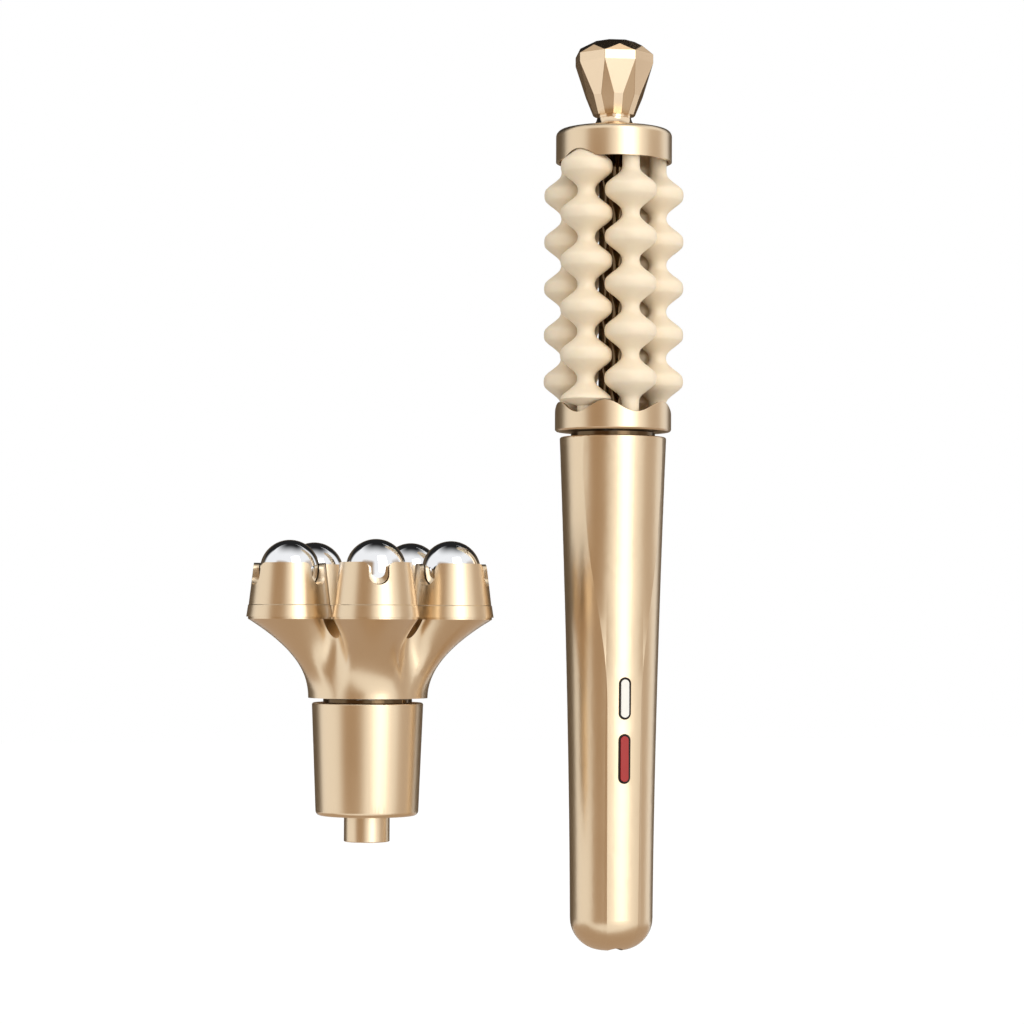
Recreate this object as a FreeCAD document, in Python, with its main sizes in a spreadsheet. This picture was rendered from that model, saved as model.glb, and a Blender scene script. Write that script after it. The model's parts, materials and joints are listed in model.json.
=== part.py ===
import FreeCAD, Part
import Sketcher
import math
import os

V = FreeCAD.Vector
UP = V(0, 0, 1)

# Driving dimensions in millimetres, degrees and plain counts.
SIZES = {
    # Handle shell: a flared round wand with a flat panel down its front.
    "handle_tall": 123.65,
    "tail_radius": 9.95,
    "top_radius": 12.92,
    "flare_power": 1.65,
    "tail_round": 7.75,
    "rim_round": 0.5,
    "shell_wall": 1.9,
    "tail_wall": 3.0,
    "panel_half_angle": 23.0,
    "panel_bulge": 0.38,
    "panel_flat_drop": 1.7,
    "panel_ease_share": 0.78,
    "panel_spread_angle": 27.0,
    "panel_fade": 0.12,
    # Charging port in the tail.
    "port_wide": 3.2,
    "port_long": 8.94,
    "port_deep": 7.3,
    "port_recess": 0.9,
    "port_skin": 0.3,
    "port_side_gap": 0.15,
    "port_end_gap": 0.93,
    "tongue_thick": 0.7,
    "tongue_long": 6.7,
    "tongue_recess": 1.3,
    # Buttons on the panel.
    "power_button_drop": 9.6,
    "power_button_wide": 1.98,
    "power_button_long": 9.05,
    "mode_button_wide": 1.95,
    "mode_button_long": 10.85,
    "button_space": 4.45,
    "bezel_wide": 0.3,
    "bezel_gap": 0.1,
    "bezel_inset": 0.05,
    "button_proud": 0.3,
    "button_travel": 0.5,
    "button_lip": 0.8,
    "button_lip_thick": 0.6,
    "button_lip_gap": 0.4,
    "stem_radius": 0.75,
    "switch_wide": 4.5,
    "switch_deep": 2.1,
    "switch_bore_gap": 0.15,
    # Electronics and drive inside the handle.
    "fit_gap": 0.2,
    "board_thick": 0.9,
    "board_edge": 0.15,
    "board_drop": 0.8,
    "board_tall": 35.0,
    "switch_clear": 0.3,
    "plate_front": 3.4,
    "plate_thick": 1.0,
    "plate_wide": 12.0,
    "disc_thick": 1.5,
    "cell_radius": 5.0,
    "shelf_drop": 15.1,
    "motor_gap": 5.3,
    "motor_radius": 6.0,
    "motor_tall": 21.0,
    "gearbox_tall": 15.0,
    "motor_plate_thick": 2.0,
    "screw_radius": 0.7,
    "screw_head_radius": 1.3,
    "screw_head_tall": 0.8,
    "motor_screw_circle": 4.4,
    "drive_radius": 1.5,
    "dog_side": 2.8,
    "dog_gap": 0.1,
    # Plug fit shared by the two heads.
    "pin_radius": 5.4,
    "pin_long": 6.15,
    "socket_gap": 0.05,
    "socket_floor_gap": 0.35,
    "collar_drop": 0.35,
    "collar_floor": 3.0,
    "spindle_radius": 2.9,
    "spindle_lift": 0.5,
    "dog_reach": 4.0,
    "run_gap": 0.05,
    "bush_wall": 0.95,
    "press_gap": 0.02,
    "clip_thick": 0.6,
    "bush_long": 5.2,
    # Roller head.
    "groove_wide": 1.35,
    "groove_inset": 0.82,
    "float_gap": 0.3,
    "ring_reach": 3.34,
    "ring_wall": 0.8,
    "ring_floor": 2.0,
    "wave_middle": 5.55,
    "wave_rise": 1.35,
    "cage_tall": 65.6,
    "cap_skirt": 3.8,
    "cap_thick": 4.0,
    "cap_round": 1.6,
    "roller_angle": -144.8,
    "front_gap_angle": 60.0,
    "like_gap_angle": 72.0,
    "roller_space": 0.15,
    "lobe_radius": 6.25,
    "neck_radius": 2.1,
    "lobe_round": 2.0,
    "neck_round": 2.2,
    "top_lobe_drop": 2.2,
    "long_lobe_count": 6,
    "foot_lobe_sink": 0.7,
    "foot_lobe_dish": 1.6,
    "roller_clearance": 0.4,
    "axle_radius": 0.75,
    "axle_seat": 1.3,
    "washer_radius": 1.9,
    "washer_thick": 0.4,
    "washer_gap": 0.1,
    "core_radius": 3.6,
    "tie_radius": 1.2,
    "spindle_tail": 5.0,
    "tie_seat": 5.0,
    # Knob on top of the roller head.
    "neck_foot_radius": 8.4,
    "neck_waist_radius": 4.15,
    "neck_tall": 3.6,
    "neck_straight": 0.6,
    "knob_angle": 14.2,
    "knob_side_count": 8,
    "knob_foot_radius": 5.1,
    "knob_belly_radius": 6.95,
    "knob_belly_height": 4.55,
    "knob_belly_angle": 13.5,
    "girdle_radius": 9.75,
    "girdle_height": 12.6,
    "girdle_band": 2.1,
    "crest_radius": 8.4,
    "crest_rise": 1.65,
    "table_radius": 5.1,
    "crown_rise": 3.3,
    "tie_in_knob": 6.0,
    # Ball head, which stands beside the wand.
    "head_offset": 60.5,
    "head_foot_height": 26.9,
    "sleeve_foot_radius": 12.1,
    "sleeve_top_radius": 13.15,
    "sleeve_tall": 26.6,
    "sleeve_wall": 1.5,
    "sleeve_floor": 2.0,
    "sleeve_round": 1.2,
    "plug_step": 0.4,
    "plug_wall": 1.1,
    "flange_radius": 9.0,
    "flange_thick": 2.0,
    "neck_cap_radius": 10.5,
    "neck_cap_thick": 2.5,
    "head_groove": 1.1,
    "arm_count": 5,
    "arm_angle": -97.7,
    "arm_circle": 19.95,
    "arm_top_radius": 9.7,
    "arm_tall": 18.55,
    "arm_rim": 0.5,
    "arm_power": 2.1,
    "arm_swell": 2.0,
    "cup_lean_angle": 0.0,
    "crown_foot_reach": 14.2,
    "valley_radius": 13.75,
    "valley_foot_round": 20.0,
    "valley_top_spare": 0.3,
    "arm_gap_tall": 5.2,
    "bowl_floor_radius": 4.6,
    "bowl_spare": 0.9,
    "hub_tall": 9.6,
    "hub_cap": 4.0,
    "hub_screw_radius": 2.8,
    "hub_screw_head": 2.0,
    "cup_foot_radius": 10.1,
    "cup_band_tall": 2.7,
    "cup_band_top_radius": 9.7,
    "cup_step": 0.15,
    "cup_rim_radius": 8.4,
    "cup_tall": 12.6,
    "cup_floor": 2.2,
    "ball_radius": 7.0,
    "ball_clearance": 0.2,
    "ball_drop": 1.6,
    "seat_radius": 6.0,
    "notch_count": 3,
    "notch_wide": 4.7,
    "notch_deep": 5.2,
    "notch_round": 2.2,
    "notch_flare": 1.5,
    "cup_screw_radius": 1.0,
    "cup_screw_head": 1.8,
    "cup_screw_head_tall": 1.2,
    "cup_screw_long": 3.0,
}

doc = FreeCAD.newDocument("massager")
sheet = doc.addObject("Spreadsheet::Sheet", "Sizes")
for row, (alias, value) in enumerate(SIZES.items(), 1):
    sheet.set(f"A{row}", alias)
    sheet.set(f"B{row}", str(value))
    sheet.setAlias(f"B{row}", alias)
doc.recompute()

nodes = {}


class Dim:
    """A length with its number and the sheet expression that it comes from."""

    def __init__(self, text, number):
        self.text = text
        self.number = float(number)

    def _join(self, sign, other, number):
        return Dim(f"({self.text} {sign} {other.text})", number)

    def __add__(self, other):
        other = dim(other)
        return self._join("+", other, self.number + other.number)

    def __sub__(self, other):
        other = dim(other)
        return self._join("-", other, self.number - other.number)

    def __mul__(self, other):
        other = dim(other)
        return self._join("*", other, self.number * other.number)

    def __truediv__(self, other):
        other = dim(other)
        return self._join("/", other, self.number / other.number)

    def __pow__(self, other):
        other = dim(other)
        return self._join("^", other, self.number ** other.number)

    def __neg__(self):
        return Dim(f"(0 - {self.text})", -self.number)

    def __float__(self):
        return self.number


def dim(value):
    """A Dim as it is, or a plain number as a Dim."""
    return value if isinstance(value, Dim) else Dim(repr(float(value)), value)


class Sizes:
    """Gives each cell of the sheet as a Dim, by its alias."""

    def __getattr__(self, alias):
        return Dim(f"Sizes.{alias}", getattr(sheet, alias))


s = Sizes()


def cosine(degrees):
    """The cosine of an angle in degrees, as a Dim."""
    angle = dim(degrees)
    return Dim(f"cos({angle.text} * 1 deg)", math.cos(math.radians(float(angle))))


def sine(degrees):
    """The sine of an angle in degrees, as a Dim."""
    angle = dim(degrees)
    return Dim(f"sin({angle.text} * 1 deg)", math.sin(math.radians(float(angle))))


def bind(thing, prop, value):
    """Tie one property of a document object to the sheet."""
    thing.setExpression(prop, dim(value).text)


def node(label, thing):
    """List a document object as one sub-part, under its own label."""
    thing.Label = label
    nodes[label] = thing
    return thing


def place(thing, x=0, y=0, z=0):
    """Tie a document object's position to the sheet."""
    for axis, value in zip("xyz", (x, y, z)):
        bind(thing, f"Placement.Base.{axis}", value)
    return thing


def turned(label, profile):
    """A body turned round Z from an outline of (radius, height) corners."""
    body = doc.addObject("PartDesign::Body", label)
    sketch = body.newObject("Sketcher::SketchObject", label + "_outline")
    plane = next(f for f in body.Origin.OriginFeatures if f.Role == "XZ_Plane")
    sketch.AttachmentSupport = [(plane, "")]
    sketch.MapMode = "FlatFace"
    corners = [V(float(dim(r)), float(dim(z)), 0) for r, z in profile]
    for k, corner in enumerate(corners):
        sketch.addGeometry(Part.LineSegment(corner, corners[(k + 1) % len(corners)]), False)
    for k in range(len(corners)):
        sketch.addConstraint(Sketcher.Constraint("Coincident", k, 2, (k + 1) % len(corners), 1))
    for k, corner in enumerate(profile):
        for kind, name, value in zip(("DistanceX", "DistanceY"), ("radius", "height"), corner):
            index = sketch.addConstraint(Sketcher.Constraint(kind, -1, 1, k, 1, float(dim(value))))
            sketch.renameConstraint(index, f"{name}_{k}")
            bind(sketch, f"Constraints.{name}_{k}", value)
    turn = body.newObject("PartDesign::Revolution", label + "_turn")
    turn.Profile = sketch
    turn.ReferenceAxis = (sketch, ["V_Axis"])
    turn.Angle = 360.0
    body.Tip = turn
    return body


def tube(label, inner, outer, low, high):
    """A turned tube between two heights."""
    return turned(label, [(inner, low), (outer, low), (outer, high), (inner, high)])


def cylinder(name, radius, low, high, x=0, y=0):
    """An upright cylinder between two heights."""
    thing = doc.addObject("Part::Cylinder", name)
    bind(thing, "Radius", radius)
    bind(thing, "Height", dim(high) - low)
    return place(thing, x, y, low)


def cylinder_along_y(name, radius, front, back, x, z):
    """A cylinder along Y from its front end to its back end."""
    thing = doc.addObject("Part::Cylinder", name)
    thing.Placement = FreeCAD.Placement(V(), FreeCAD.Rotation(V(1, 0, 0), -90))
    bind(thing, "Radius", radius)
    bind(thing, "Height", dim(back) - front)
    return place(thing, x, front, z)


def box(name, x, y, z):
    """A block given by its low and high limits along each axis."""
    thing = doc.addObject("Part::Box", name)
    for prop, (low, high) in zip(("Length", "Width", "Height"), (x, y, z)):
        bind(thing, prop, dim(high) - low)
    return place(thing, x[0], y[0], z[0])


def span(width):
    """The limits of a width that is centred on zero."""
    half = dim(width) / 2
    return (-half, half)


def cut(name, base, *tools):
    """One object with others taken away from it."""
    thing = doc.addObject("Part::Cut", name)
    thing.Base = base
    thing.Tool = tools[0] if len(tools) == 1 else group(name + "_tools", tools)
    return thing


def fuse(name, *members):
    """Several objects as one solid."""
    thing = doc.addObject("Part::MultiFuse", name)
    thing.Shapes = list(members)
    return thing


def group(name, members):
    """Several objects side by side, each still its own solid."""
    thing = doc.addObject("Part::Compound", name)
    thing.Links = list(members)
    return thing


def shaped(label, shape, placement=None):
    """A sub-part whose free form is worked out in this script."""
    thing = doc.addObject("Part::Feature", label)
    thing.Shape = shape
    thing.Placement = placement or FreeCAD.Placement()
    return node(label, thing)


def outline(start, *steps):
    """Edges in the XZ plane: a step of one point is a line, of two points an arc by the first."""
    edges = []
    here = V(start[0], 0, start[1])
    for step in steps:
        if isinstance(step[0], tuple):
            (mid_x, mid_z), (end_x, end_z) = step
            end = V(end_x, 0, end_z)
            edges.append(Part.Arc(here, V(mid_x, 0, mid_z), end).toShape())
        else:
            end = V(step[0], 0, step[1])
            edges.append(Part.LineSegment(here, end).toShape())
        here = end
    return edges


def spun(edges):
    """The solid that a closed outline makes round the Z axis."""
    return Part.Face(Part.Wire(edges)).revolve(V(), UP, 360)


def rod(radius, low, high, x=0.0, y=0.0):
    """A plain upright cylinder, for cutting free forms."""
    return Part.makeCylinder(radius, high - low, V(x, y, low))


def on_circle(radius, degrees):
    """The point of a circle round Z at an angle."""
    angle = math.radians(degrees)
    return V(radius * math.cos(angle), radius * math.sin(angle), 0)


def turn_about_z(degrees, x=0.0):
    """A placement turned about Z and moved along X."""
    return FreeCAD.Placement(V(x, 0, 0), FreeCAD.Rotation(UP, degrees))


def shell_radius(height):
    """The handle's round radius at a height above its tail."""
    rise = (dim(height) / s.handle_tall) ** s.flare_power
    return s.tail_radius + (s.top_radius - s.tail_radius) * rise


def cavity_radius(height):
    """The radius of the hollow inside the handle at a height."""
    return shell_radius(height) - s.shell_wall


def panel_depth(height):
    """How far the middle of the panel's face stands in front of the handle's axis."""
    return shell_radius(height) * cosine(s.panel_half_angle) + s.panel_bulge


# Heights that several pieces share.
seat_height = s.handle_tall - s.collar_drop
plug_foot = seat_height - s.pin_long
collar_foot = plug_foot - s.socket_floor_gap - s.collar_floor
motor_plate_top = collar_foot - s.fit_gap
motor_plate_foot = motor_plate_top - s.motor_plate_thick
gearbox_foot = motor_plate_foot - s.gearbox_tall
motor_foot = gearbox_foot - s.motor_tall
port_top = s.port_recess + s.port_deep
charge_board_top = port_top + s.board_thick
chassis_foot = charge_board_top + s.fit_gap
chassis_top = motor_foot - s.motor_gap
power_height = chassis_top - s.power_button_drop
mode_height = power_height - (s.power_button_long + s.mode_button_long) / 2 - s.button_space
panel_flat_top = power_height - s.panel_flat_drop
button_gap = s.bezel_wide + s.bezel_gap
spindle_foot = plug_foot + s.spindle_lift
ring_foot = s.handle_tall + s.groove_wide
groove_radius = cavity_radius(s.handle_tall) - s.groove_inset
ring_floor_top = ring_foot + s.ring_floor
wave_crest = ring_foot + s.wave_middle + s.wave_rise
roller_circle = (s.lobe_radius + s.roller_space / 2) / sine(s.like_gap_angle / 2)
ring_radius = roller_circle + s.ring_reach
cap_edge = ring_foot + s.cage_tall
cap_floor = cap_edge + s.cap_skirt
cap_top = cap_floor + s.cap_thick
neck_top = cap_top + s.neck_tall
bush_bore = s.spindle_radius + s.run_gap
bush_radius = bush_bore + s.bush_wall
bush_seat = bush_radius + s.press_gap
roller_low = ring_floor_top + s.washer_thick + s.washer_gap
roller_high = cap_floor - s.washer_thick - s.washer_gap
foot_lobe_edge = wave_crest + s.roller_clearance
foot_lobe = foot_lobe_edge - s.foot_lobe_sink
lobe_pitch = (cap_edge - s.top_lobe_drop - foot_lobe) / (s.long_lobe_count - 1)
sleeve_foot = s.head_foot_height + s.pin_long
sleeve_top = sleeve_foot + s.sleeve_tall
crown_foot = sleeve_top + s.head_groove
arm_top = crown_foot + s.arm_tall + s.arm_rim
ball_rise = s.cup_tall - s.ball_drop


def panel_section(height, half, radius, middle):
    """The outline of what the panel cuts off at a height: from its own arc to clear of the handle."""
    crease = V(radius * math.sin(half), -radius * math.cos(half), 0)
    rise = middle + crease.y
    arc_radius = (crease.x ** 2 + rise ** 2) / (2 * rise)
    side = crease.x * 1.12
    side_y = arc_radius - middle - math.sqrt(arc_radius ** 2 - side ** 2)
    front_y = -float(s.top_radius + s.shell_wall)
    corners = [V(-side, side_y, height), V(side, side_y, height)]
    corners += [V(side, front_y, height), V(-side, front_y, height)]
    face_arc = Part.Arc(corners[0], V(0, -middle, height), corners[1]).toShape()
    sides = [Part.LineSegment(corners[k], corners[(k + 1) % 4]).toShape() for k in (1, 2, 3)]
    return Part.Wire([face_arc] + sides)


def low_panel_cutters():
    """The material in front of the panel's even part, and of its end that bends in with the tail."""
    turn = float(s.tail_round)
    top = float(panel_flat_top)
    half = math.radians(float(s.panel_half_angle))
    side = float(shell_radius(turn))
    bulge = float(s.panel_bulge)
    tail = []
    for step in range(9):
        bend = math.pi / 2 * step / 8
        radius = side - turn + turn * math.sin(bend)
        middle = radius * (math.cos(half) + bulge / side)
        tail.append(panel_section(turn * (1 - math.cos(bend)), half, radius, middle))
    even = []
    for step in range(6):
        height = turn + (top - turn) * step / 5
        even.append(panel_section(height, half, float(shell_radius(height)), float(panel_depth(height))))
    return [Part.makeLoft(tail, True, False), Part.makeLoft(even, True, False)]


def panel_cutter():
    """The material in front of the panel above its even part: it fades into the round towards the rim."""
    flat_top = float(panel_flat_top)
    tall = float(s.handle_tall)
    levels = [flat_top + (tall - flat_top) * share for share in (0.0, 0.08, 0.18, 0.3, 0.42, 0.55, 0.75, 1.0)]
    levels.append(tall + float(s.rim_round))
    wires = []
    for height in levels:
        rise = min((height - flat_top) / (tall - flat_top), 1.0)
        ease = (1 - math.cos(math.pi * min(rise / float(s.panel_ease_share), 1.0))) / 2
        half = math.radians(float(s.panel_half_angle) + float(s.panel_spread_angle) * ease)
        radius = float(shell_radius(height))
        flat_inset = radius - float(panel_depth(height))
        inset = float(s.panel_fade) + (flat_inset - float(s.panel_fade)) * (1 - rise ** 2) ** 2
        wires.append(panel_section(height, half, radius, radius - inset))
    return Part.makeLoft(wires, True, False)


def wall_curve(radius_of, low, high):
    """A smooth line up the handle's wall between two heights, in the XZ plane."""
    points = []
    for share in (0.0, 0.2, 0.4, 0.6, 0.8, 1.0):
        height = low + (high - low) * share
        points.append(V(float(radius_of(height)), 0, height))
    curve = Part.BSplineCurve()
    curve.interpolate(points)
    return curve.toShape()


def pill(width, length, height, front, back):
    """A block with round ends, upright in the panel, from its front to its back along Y."""
    half = width / 2
    straight = length / 2 - half
    top = height + straight
    foot = height - straight
    edges = outline((half, foot), (half, top), ((0, top + half), (-half, top)),
                    (-half, foot), ((0, foot - half), (half, foot)))
    face = Part.Face(Part.Wire(edges))
    face.translate(V(0, front, 0))
    return face.extrude(V(0, back - front, 0))


def handle_shell():
    """The one-piece outer wand with its panel, button openings and port slot."""
    tall = float(s.handle_tall)
    turn = float(s.tail_round)
    rim = float(s.rim_round)
    side = float(shell_radius(turn))
    rim_side = float(shell_radius(tall - rim))
    bend = turn * math.sqrt(0.5)
    tail = outline((0, 0), (side - turn, 0), ((side - turn + bend, turn - bend), (side, turn)))
    lip_bend = rim * math.sqrt(0.5)
    lip = outline((rim_side, tall - rim),
                  ((rim_side - rim + lip_bend, tall - rim + lip_bend), (rim_side - rim, tall)),
                  (0, tall), (0, 0))
    outer = spun(tail + [wall_curve(shell_radius, turn, tall - rim)] + lip)
    outer = outer.cut([panel_cutter()] + low_panel_cutters())
    floor = float(s.tail_wall)
    hollow_low = float(port_top)
    hollow_high = tall + rim
    inner = spun(outline((0, floor), (float(s.port_long) / 2, floor),
                         (float(cavity_radius(hollow_low)), hollow_low))
                 + [wall_curve(cavity_radius, hollow_low, hollow_high)]
                 + outline((float(cavity_radius(hollow_high)), hollow_high), (0, hollow_high), (0, floor)))
    shell = outer.cut(inner)
    slot_wide = float(s.port_wide + s.port_side_gap * 2)
    slot_long = float(s.port_long + s.port_end_gap * 2)
    slot = pill(slot_wide, slot_long, 0.0, 0.0, hollow_low + floor)
    slot.rotate(V(), V(1, 0, 0), 90)
    slot.translate(UP * -floor)
    shell = shell.cut(slot)
    for wide, long, height in button_places:
        opening_wide = float(wide + button_gap * 2)
        opening_long = float(long + button_gap * 2)
        shell = shell.cut(pill(opening_wide, opening_long, float(height), -float(s.top_radius) * 2, 0))
    shaped("handle_shell", shell)


button_places = [(s.power_button_wide, s.power_button_long, power_height),
                 (s.mode_button_wide, s.mode_button_long, mode_height)]


def lip_place(wide, long, height):
    """Half the width of the lip behind a button's opening, and where the lip's front stands."""
    wall_inside = cavity_radius(height - long / 2)
    half_lip = wide / 2 + s.button_lip
    reach = math.sqrt(float(wall_inside) ** 2 - float(half_lip) ** 2)
    return half_lip, float(s.button_lip_gap) - reach


def button_bezels():
    """The dark liners of the two openings, each a little behind the panel's face."""
    liners = []
    for wide, long, height in button_places:
        lip_front = lip_place(wide, long, height)[1]
        front = -float(panel_depth(height - long / 2 - button_gap) - s.bezel_inset)
        back = lip_front - float(s.button_lip_gap) / 2
        outer = button_gap - s.press_gap
        around = pill(float(wide + outer * 2), float(long + outer * 2), float(height), front, back)
        inside = s.bezel_gap
        way = pill(float(wide + inside * 2), float(long + inside * 2), float(height), front, back)
        liners.append(around.cut(way))
    shaped("button_bezels", Part.makeCompound(liners))


def button(label, wide, long, height):
    """A pill-shaped button: its cap in the panel, its lip behind the wall and its stem to the switch."""
    face = -float(panel_depth(height) + s.button_proud)
    half_lip, lip_front = lip_place(wide, long, height)
    lip_back = lip_front + float(s.button_lip_thick)
    cap = pill(float(wide), float(long), float(height), face, lip_back)
    lip_long = float(long + s.button_lip * 2)
    lip = pill(float(half_lip) * 2, lip_long, float(height), lip_front, lip_back)
    stem_end = float(switch_face + s.switch_bore_gap * 4)
    stem = Part.makeCylinder(float(s.stem_radius), stem_end - lip_back,
                             V(0, lip_back, float(height)), V(0, 1, 0))
    shaped(label, cap.fuse([lip, stem]).removeSplitter())


board_back = -s.plate_front
board_front = board_back - s.board_thick
switch_face = board_front - s.switch_deep


def switch(label, height):
    """A small push switch on the board, with a bore for the button's stem."""
    block = box(label + "_block", span(s.switch_wide), (switch_face, board_front),
                (height - s.switch_wide / 2, height + s.switch_wide / 2))
    bore_end = switch_face + s.switch_bore_gap * 5 + s.button_travel
    bore = cylinder_along_y(label + "_bore", s.stem_radius + s.switch_bore_gap,
                            switch_face, bore_end, 0, height)
    node(label, cut(label, block, bore))


def oblong(name, wide, long, low, high):
    """An upright block along Y with round ends."""
    straight = dim(long) - wide
    middle = box(name + "_middle", span(wide), span(straight), (low, high))
    ends = [cylinder(f"{name}_end_{k}", dim(wide) / 2, low, high, 0, straight * side)
            for k, side in enumerate((-0.5, 0.5))]
    return fuse(name, middle, *ends)


def charging_port():
    """The port's metal can, its tongue and the small board that carries it."""
    skin = s.port_skin
    can = oblong("port_can", s.port_wide, s.port_long, s.port_recess, port_top)
    mouth = oblong("port_mouth", s.port_wide - skin * 2, s.port_long - skin * 2,
                   s.port_recess, port_top - skin)
    node("charging_port", cut("charging_port", can, mouth))
    tongue = box("port_tongue", span(s.tongue_thick), span(s.tongue_long),
                 (s.port_recess + s.tongue_recess, port_top - skin))
    node("port_tongue", tongue)
    board_radius = cavity_radius(port_top) - s.fit_gap
    node("charging_board", cylinder("charging_board", board_radius, port_top, charge_board_top))


board_top = chassis_top - s.disc_thick - s.board_drop
board_low = board_top - s.board_tall
board_screw_heights = (board_low + s.screw_head_radius * 2, board_top - s.screw_head_radius * 2)
screw_side = s.switch_wide / 2 + s.switch_clear + s.screw_head_radius
board_wide = (screw_side + s.screw_head_radius + s.board_edge) * 2
cell_foot = chassis_foot + s.disc_thick + s.fit_gap
shelf_low = chassis_top - s.shelf_drop
cell_back = board_back + s.plate_thick + s.fit_gap + s.cell_radius


def chassis():
    """The frame inside the handle: a spine plate between discs that fit the hollow."""
    spine = box("chassis_spine", span(s.plate_wide), (board_back, board_back + s.plate_thick),
                (chassis_foot, chassis_top))
    foot_radius = cavity_radius(chassis_foot) - s.fit_gap
    foot = cylinder("chassis_foot_disc", foot_radius, chassis_foot, chassis_foot + s.disc_thick)
    top_low = chassis_top - s.disc_thick
    top = cylinder("chassis_top_disc", cavity_radius(top_low) - s.fit_gap, top_low, chassis_top)
    shelf_disc = cylinder("chassis_shelf_disc", cavity_radius(shelf_low) - s.fit_gap,
                          shelf_low, shelf_low + s.disc_thick)
    front = box("chassis_shelf_front", span(s.top_radius * 2), (-s.top_radius, board_back),
                (shelf_low, shelf_low + s.disc_thick))
    shelf = cut("chassis_shelf", shelf_disc, front)
    frame = fuse("chassis_frame", spine, foot, top, shelf)
    holes = [cylinder_along_y(f"chassis_hole_{k}", s.screw_radius + s.press_gap, board_back,
                              board_back + s.plate_thick, screw_side, height)
             for k, height in enumerate(board_screw_heights)]
    node("chassis", cut("chassis", frame, *holes))


def electronics():
    """The battery cell, the main board, its switches and its screws."""
    node("battery_cell", cylinder("battery_cell", s.cell_radius, cell_foot, shelf_low - s.fit_gap,
                                  0, cell_back))
    blank = box("board_blank", span(board_wide), (board_front, board_back), (board_low, board_top))
    holes = [cylinder_along_y(f"board_hole_{k}", s.screw_radius + s.press_gap, board_front, board_back,
                              screw_side, height)
             for k, height in enumerate(board_screw_heights)]
    node("main_board", cut("main_board", blank, *holes))
    switch("power_switch", power_height)
    switch("mode_switch", mode_height)
    screws = []
    for k, height in enumerate(board_screw_heights):
        head = cylinder_along_y(f"board_screw_head_{k}", s.screw_head_radius,
                                board_front - s.screw_head_tall, board_front, screw_side, height)
        shank = cylinder_along_y(f"board_screw_shank_{k}", s.screw_radius, board_front - s.screw_head_tall,
                                 board_back + s.plate_thick, screw_side, height)
        screws.append(fuse(f"board_screw_{k}", head, shank))
    node("board_screws", group("board_screws", screws))


def drive_unit():
    """The geared motor under its plate, and the square-ended shaft that drives a head."""
    node("motor", turned("motor", [(0, motor_foot), (s.motor_radius, motor_foot),
                                   (s.motor_radius, gearbox_foot), (0, gearbox_foot)]))
    shaft_seat = s.drive_radius + s.run_gap
    shaft_foot = gearbox_foot + s.gearbox_tall / 2
    case = turned("gearbox_case", [(0, gearbox_foot), (s.motor_radius, gearbox_foot),
                                   (s.motor_radius, motor_plate_foot), (shaft_seat, motor_plate_foot),
                                   (shaft_seat, shaft_foot - s.fit_gap), (0, shaft_foot - s.fit_gap)])
    screw_foot = motor_plate_foot - s.motor_plate_thick
    places = [(s.motor_screw_circle, dim(0)), (-s.motor_screw_circle, dim(0))]
    taps = [cylinder(f"gearbox_tap_{k}", s.screw_radius + s.press_gap, screw_foot, motor_plate_foot, x, y)
            for k, (x, y) in enumerate(places)]
    node("gearbox", cut("gearbox", case, *taps))
    plate_radius = cavity_radius(motor_plate_foot) - s.fit_gap
    disc = tube("motor_plate_disc", shaft_seat + s.fit_gap, plate_radius, motor_plate_foot, motor_plate_top)
    holes = [cylinder(f"plate_hole_{k}", s.screw_radius + s.press_gap,
                      motor_plate_foot, motor_plate_top, x, y)
             for k, (x, y) in enumerate(places)]
    sinks = [cylinder(f"plate_sink_{k}", s.screw_head_radius + s.press_gap,
                      motor_plate_top - s.screw_head_tall, motor_plate_top, x, y)
             for k, (x, y) in enumerate(places)]
    node("motor_plate", cut("motor_plate", disc, *holes, *sinks))
    screws = []
    for k, (x, y) in enumerate(places):
        head = cylinder(f"motor_screw_head_{k}", s.screw_head_radius,
                        motor_plate_top - s.screw_head_tall, motor_plate_top, x, y)
        shank = cylinder(f"motor_screw_shank_{k}", s.screw_radius, screw_foot, motor_plate_top, x, y)
        screws.append(fuse(f"motor_screw_{k}", head, shank))
    node("motor_screws", group("motor_screws", screws))
    dog_foot = collar_foot + s.collar_floor
    dog_top = spindle_foot + s.dog_reach - s.fit_gap
    shaft = cylinder("drive_shaft_round", s.drive_radius, shaft_foot, dog_foot)
    dog = box("drive_shaft_dog", span(s.dog_side), span(s.dog_side), (dog_foot, dog_top))
    node("drive_shaft", fuse("drive_shaft", shaft, dog))


def head_socket():
    """The collar in the mouth of the handle that takes either head's plug."""
    wall = s.fit_gap
    bore = s.pin_radius + s.socket_gap
    shaft_way = s.drive_radius + s.fit_gap * 2
    floor_top = collar_foot + s.collar_floor
    node("head_socket", turned("head_socket", [
        (shaft_way, collar_foot), (cavity_radius(collar_foot) - wall, collar_foot),
        (cavity_radius(seat_height) - wall, seat_height), (bore, seat_height),
        (bore, floor_top), (shaft_way, floor_top)]))


def spindle(label, foot, top, tap_low, x=0):
    """A driven shaft with a square socket in its foot and a tapped hole in its top."""
    blank = cylinder(label + "_blank", s.spindle_radius, foot, top, x)
    side = s.dog_side + s.dog_gap * 2
    half = side / 2
    socket = box(label + "_socket", (dim(x) - half, dim(x) + half), (-half, half), (foot, foot + s.dog_reach))
    tap = cylinder(label + "_tap", s.tie_radius + s.press_gap, tap_low, top, x)
    node(label, cut(label, blank, socket, tap))


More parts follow.
